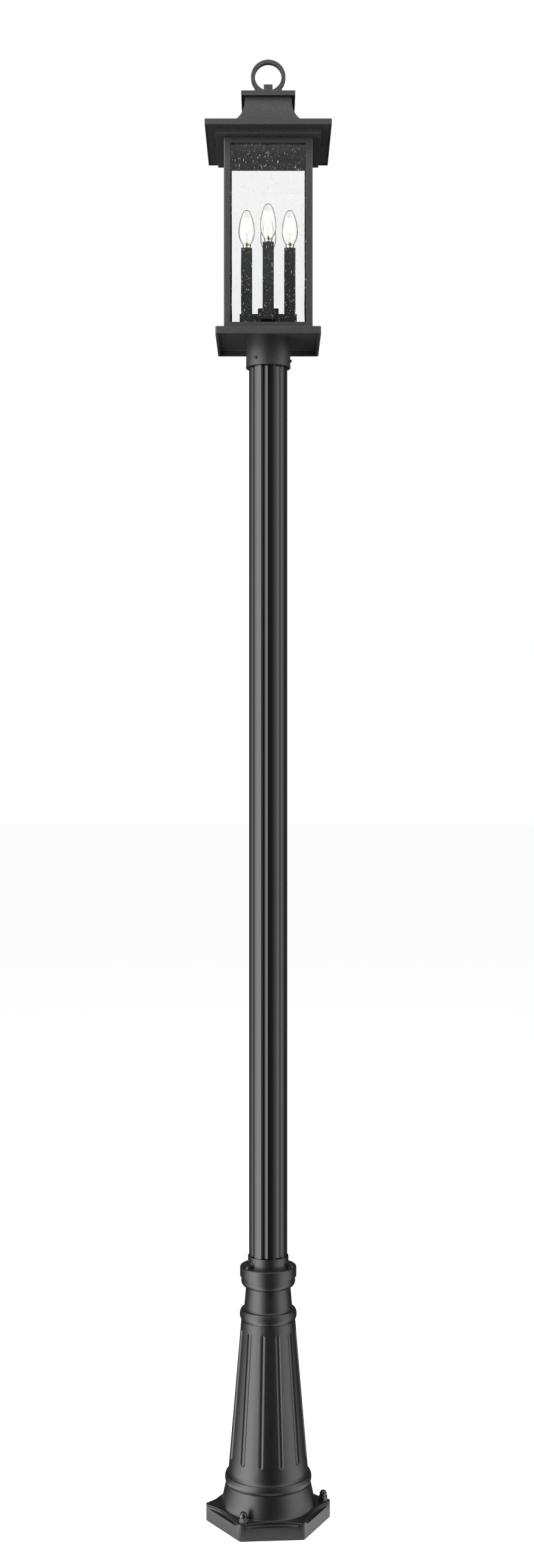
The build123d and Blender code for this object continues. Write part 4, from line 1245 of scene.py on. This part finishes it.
# Cap and finial. A shallow cap with a low hipped top, the plate on it, and the square block with
# the flat ring, which screws down through the roof on a long stud.
for name in ("roof_cap", "finial_plate", "loop_block", "loop_ring"):
    eased(name, lantern_coat, "lantern_black", edge_round)

# Camera. Level, in front of the lantern, at the height and distance that the outlines of foot,
# plate and roof give, with the photograph's frame.
frame_height = 2576
camera = bpy.data.objects.new("camera", bpy.data.cameras.new("camera"))
bpy.context.scene.collection.objects.link(camera)
camera.location = (0.0, -3.640, 1.509)
camera.rotation_euler = (pi / 2, 0, 0)
camera.data.sensor_fit = "AUTO"
camera.data.sensor_width = 36
camera.data.lens = 41.93
camera.data.shift_x = -2 / frame_height
camera.data.shift_y = -0.01475
bpy.context.scene.camera = camera

# Studio. Two tall soft boxes and one above the front light the object. In its gloss shows a round
# tent with a panel on either side, black between them and a pale top. Room and floor are white.
for name, place, aim, width, height, power in (
    ("soft_box_left", (-1.87, -1.17, 1.5), 1.5, 0.9, 3.2, 60.0),
    ("soft_box_right", (2.08, -1.20, 1.5), 1.5, 0.9, 3.2, 27.0),
    ("soft_box_top", (0.0, -1.7, 4.6), 2.5, 1.8, 0.8, 105.0),
):
    lamp = bpy.data.lights.new(name, "AREA")
    lamp.shape = "RECTANGLE"
    lamp.size = width
    lamp.size_y = height
    lamp.energy = power
    box = bpy.data.objects.new(name, lamp)
    box.location = place
    box.rotation_euler = (Vector((0, 0, aim)) - Vector(place)).to_track_quat("-Z", "Y").to_euler()
    box.visible_camera = False
    box.visible_glossy = False
    bpy.context.scene.collection.objects.link(box)

tent_radius = 3.0
tent_height = 5.0
tent_mouth = 0.17
tent_full = 5.6
tent_top = 1.2
tent_top_foot = 3.1
tent_top_full = 3.9
tent_rise_off_floor = 0.001
tent_step = 3
tent_panels = (
    (-180, 0.08), (-150, 0.08), (-120, 0.05), (-106, 0.7), (-94, 1.9), (-82, 3.6), (-62, 5.4),
    (-50, 5.6), (-40, 4.4), (-28, 1.8), (-16, 0.25), (-8, 0.02), (10, 0.02), (27, 0.25),
    (42, 1.1), (60, 2.6), (85, 2.3), (105, 0.7), (120, 0.05), (150, 0.08), (180, 0.08),
)
tent_cloth, tent_tree, _ = new_material("tent_cloth")
tent_object = add_node(tent_tree, "ShaderNodeTexCoord").outputs["Object"]
tent_place = add_node(tent_tree, "ShaderNodeSeparateXYZ", {0: tent_object}).outputs
tent_forward = reckon(tent_tree, "MULTIPLY", tent_place["Y"], -1.0)
tent_bearing = reckon(tent_tree, "ARCTAN2", tent_place["X"], tent_forward)
tent_share = reckon(tent_tree, "MULTIPLY_ADD", tent_bearing, 0.5 / pi, 0.5)
tent_ramp = add_node(tent_tree, "ShaderNodeValToRGB", {"Fac": tent_share})
stops = tent_ramp.color_ramp.elements
stops.remove(stops[1])
for number, (bearing, light) in enumerate(tent_panels):
    stop = stops.new(bearing / 360 + 0.5) if number else stops[0]
    stop.color = [light / tent_full] * 3 + [1]
tent_rise = add_node(
    tent_tree,
    "ShaderNodeMapRange",
    {
        "Value": tent_place["Z"],
        "From Min": tent_top_foot,
        "From Max": tent_top_full,
        "To Max": tent_top,
    },
)
tent_front = add_node(
    tent_tree, "ShaderNodeMapRange", {"Value": tent_forward, "From Max": tent_radius / 2}
)
tent_strength = reckon(
    tent_tree,
    "MULTIPLY_ADD",
    tent_ramp.outputs["Color"],
    tent_full,
    reckon(tent_tree, "MULTIPLY", tent_rise.outputs["Result"], tent_front.outputs["Result"]),
)
tent_light = add_node(tent_tree, "ShaderNodeEmission", {"Strength": tent_strength})
tent_tree.links.new(
    tent_light.outputs["Emission"], tent_tree.nodes["Material Output"].inputs["Surface"]
)
tent_shape = bmesh.new()
tent_rings = [
    [
        tent_shape.verts.new((reach * sin(radians(step)), reach * cos(radians(step)), level))
        for step in range(0, 360, tent_step)
    ]
    for reach, level in (
        (tent_mouth, tent_rise_off_floor),
        (tent_radius, tent_rise_off_floor),
        (tent_radius, tent_height),
    )
]
for lower, upper in zip(tent_rings, tent_rings[1:]):
    for step in range(len(lower)):
        tent_shape.faces.new((lower[step - 1], lower[step], upper[step], upper[step - 1]))
tent = new_piece("tent", finished("tent", tent_shape))
tent.data.materials.append(tent_cloth)
for ray in ("camera", "diffuse", "transmission", "shadow", "volume_scatter"):
    setattr(tent, "visible_" + ray, False)


def shows_white(tree, path):
    """1 on the rays that show the room as it is: from the camera, in gloss and through glass."""
    direct = reckon(tree, "MAXIMUM", path["Is Camera Ray"], path["Is Glossy Ray"])
    return reckon(tree, "MAXIMUM", direct, path["Is Transmission Ray"])


room_light = 0.25
world = bpy.data.worlds.new("studio")
world.use_nodes = True
bpy.context.scene.world = world
room_tree = world.node_tree
room_path = add_node(room_tree, "ShaderNodeLightPath").outputs
room_strength = add_node(
    room_tree,
    "ShaderNodeMapRange",
    {"Value": shows_white(room_tree, room_path), "To Min": room_light, "To Max": 1.0},
)
backdrop = room_tree.nodes["Background"]
backdrop.inputs["Color"].default_value = (1, 1, 1, 1)
room_tree.links.new(room_strength.outputs["Result"], backdrop.inputs["Strength"])

floor_size = 40.0
floor_white = (0.85, 0.85, 0.85, 1)
floor_bounced = (0.14, 0.14, 0.14, 1)
floor_glow = 0.72
floor_shape = bmesh.new()
bmesh.ops.create_grid(floor_shape, x_segments=4, y_segments=4, size=floor_size)
floor = new_piece("floor", finished("floor", floor_shape))
floor_paint, floor_tree, floor_shader = new_material("floor_white")
floor_path = add_node(floor_tree, "ShaderNodeLightPath").outputs
floor_colour = mix_colours(floor_tree, floor_path["Is Diffuse Ray"], floor_white, floor_bounced)
floor_lift = reckon(floor_tree, "MULTIPLY", shows_white(floor_tree, floor_path), floor_glow)
floor_tree.links.new(floor_colour, floor_shader.inputs["Base Color"])
floor_tree.links.new(floor_lift, floor_shader.inputs["Emission Strength"])
set_values(
    floor_shader,
    {"Roughness": 0.9, "Specular IOR Level": 0.1, "Emission Color": (1, 1, 1, 1)},
)
floor.data.materials.append(floor_paint)

bpy.context.scene.view_settings.view_transform = "Standard"
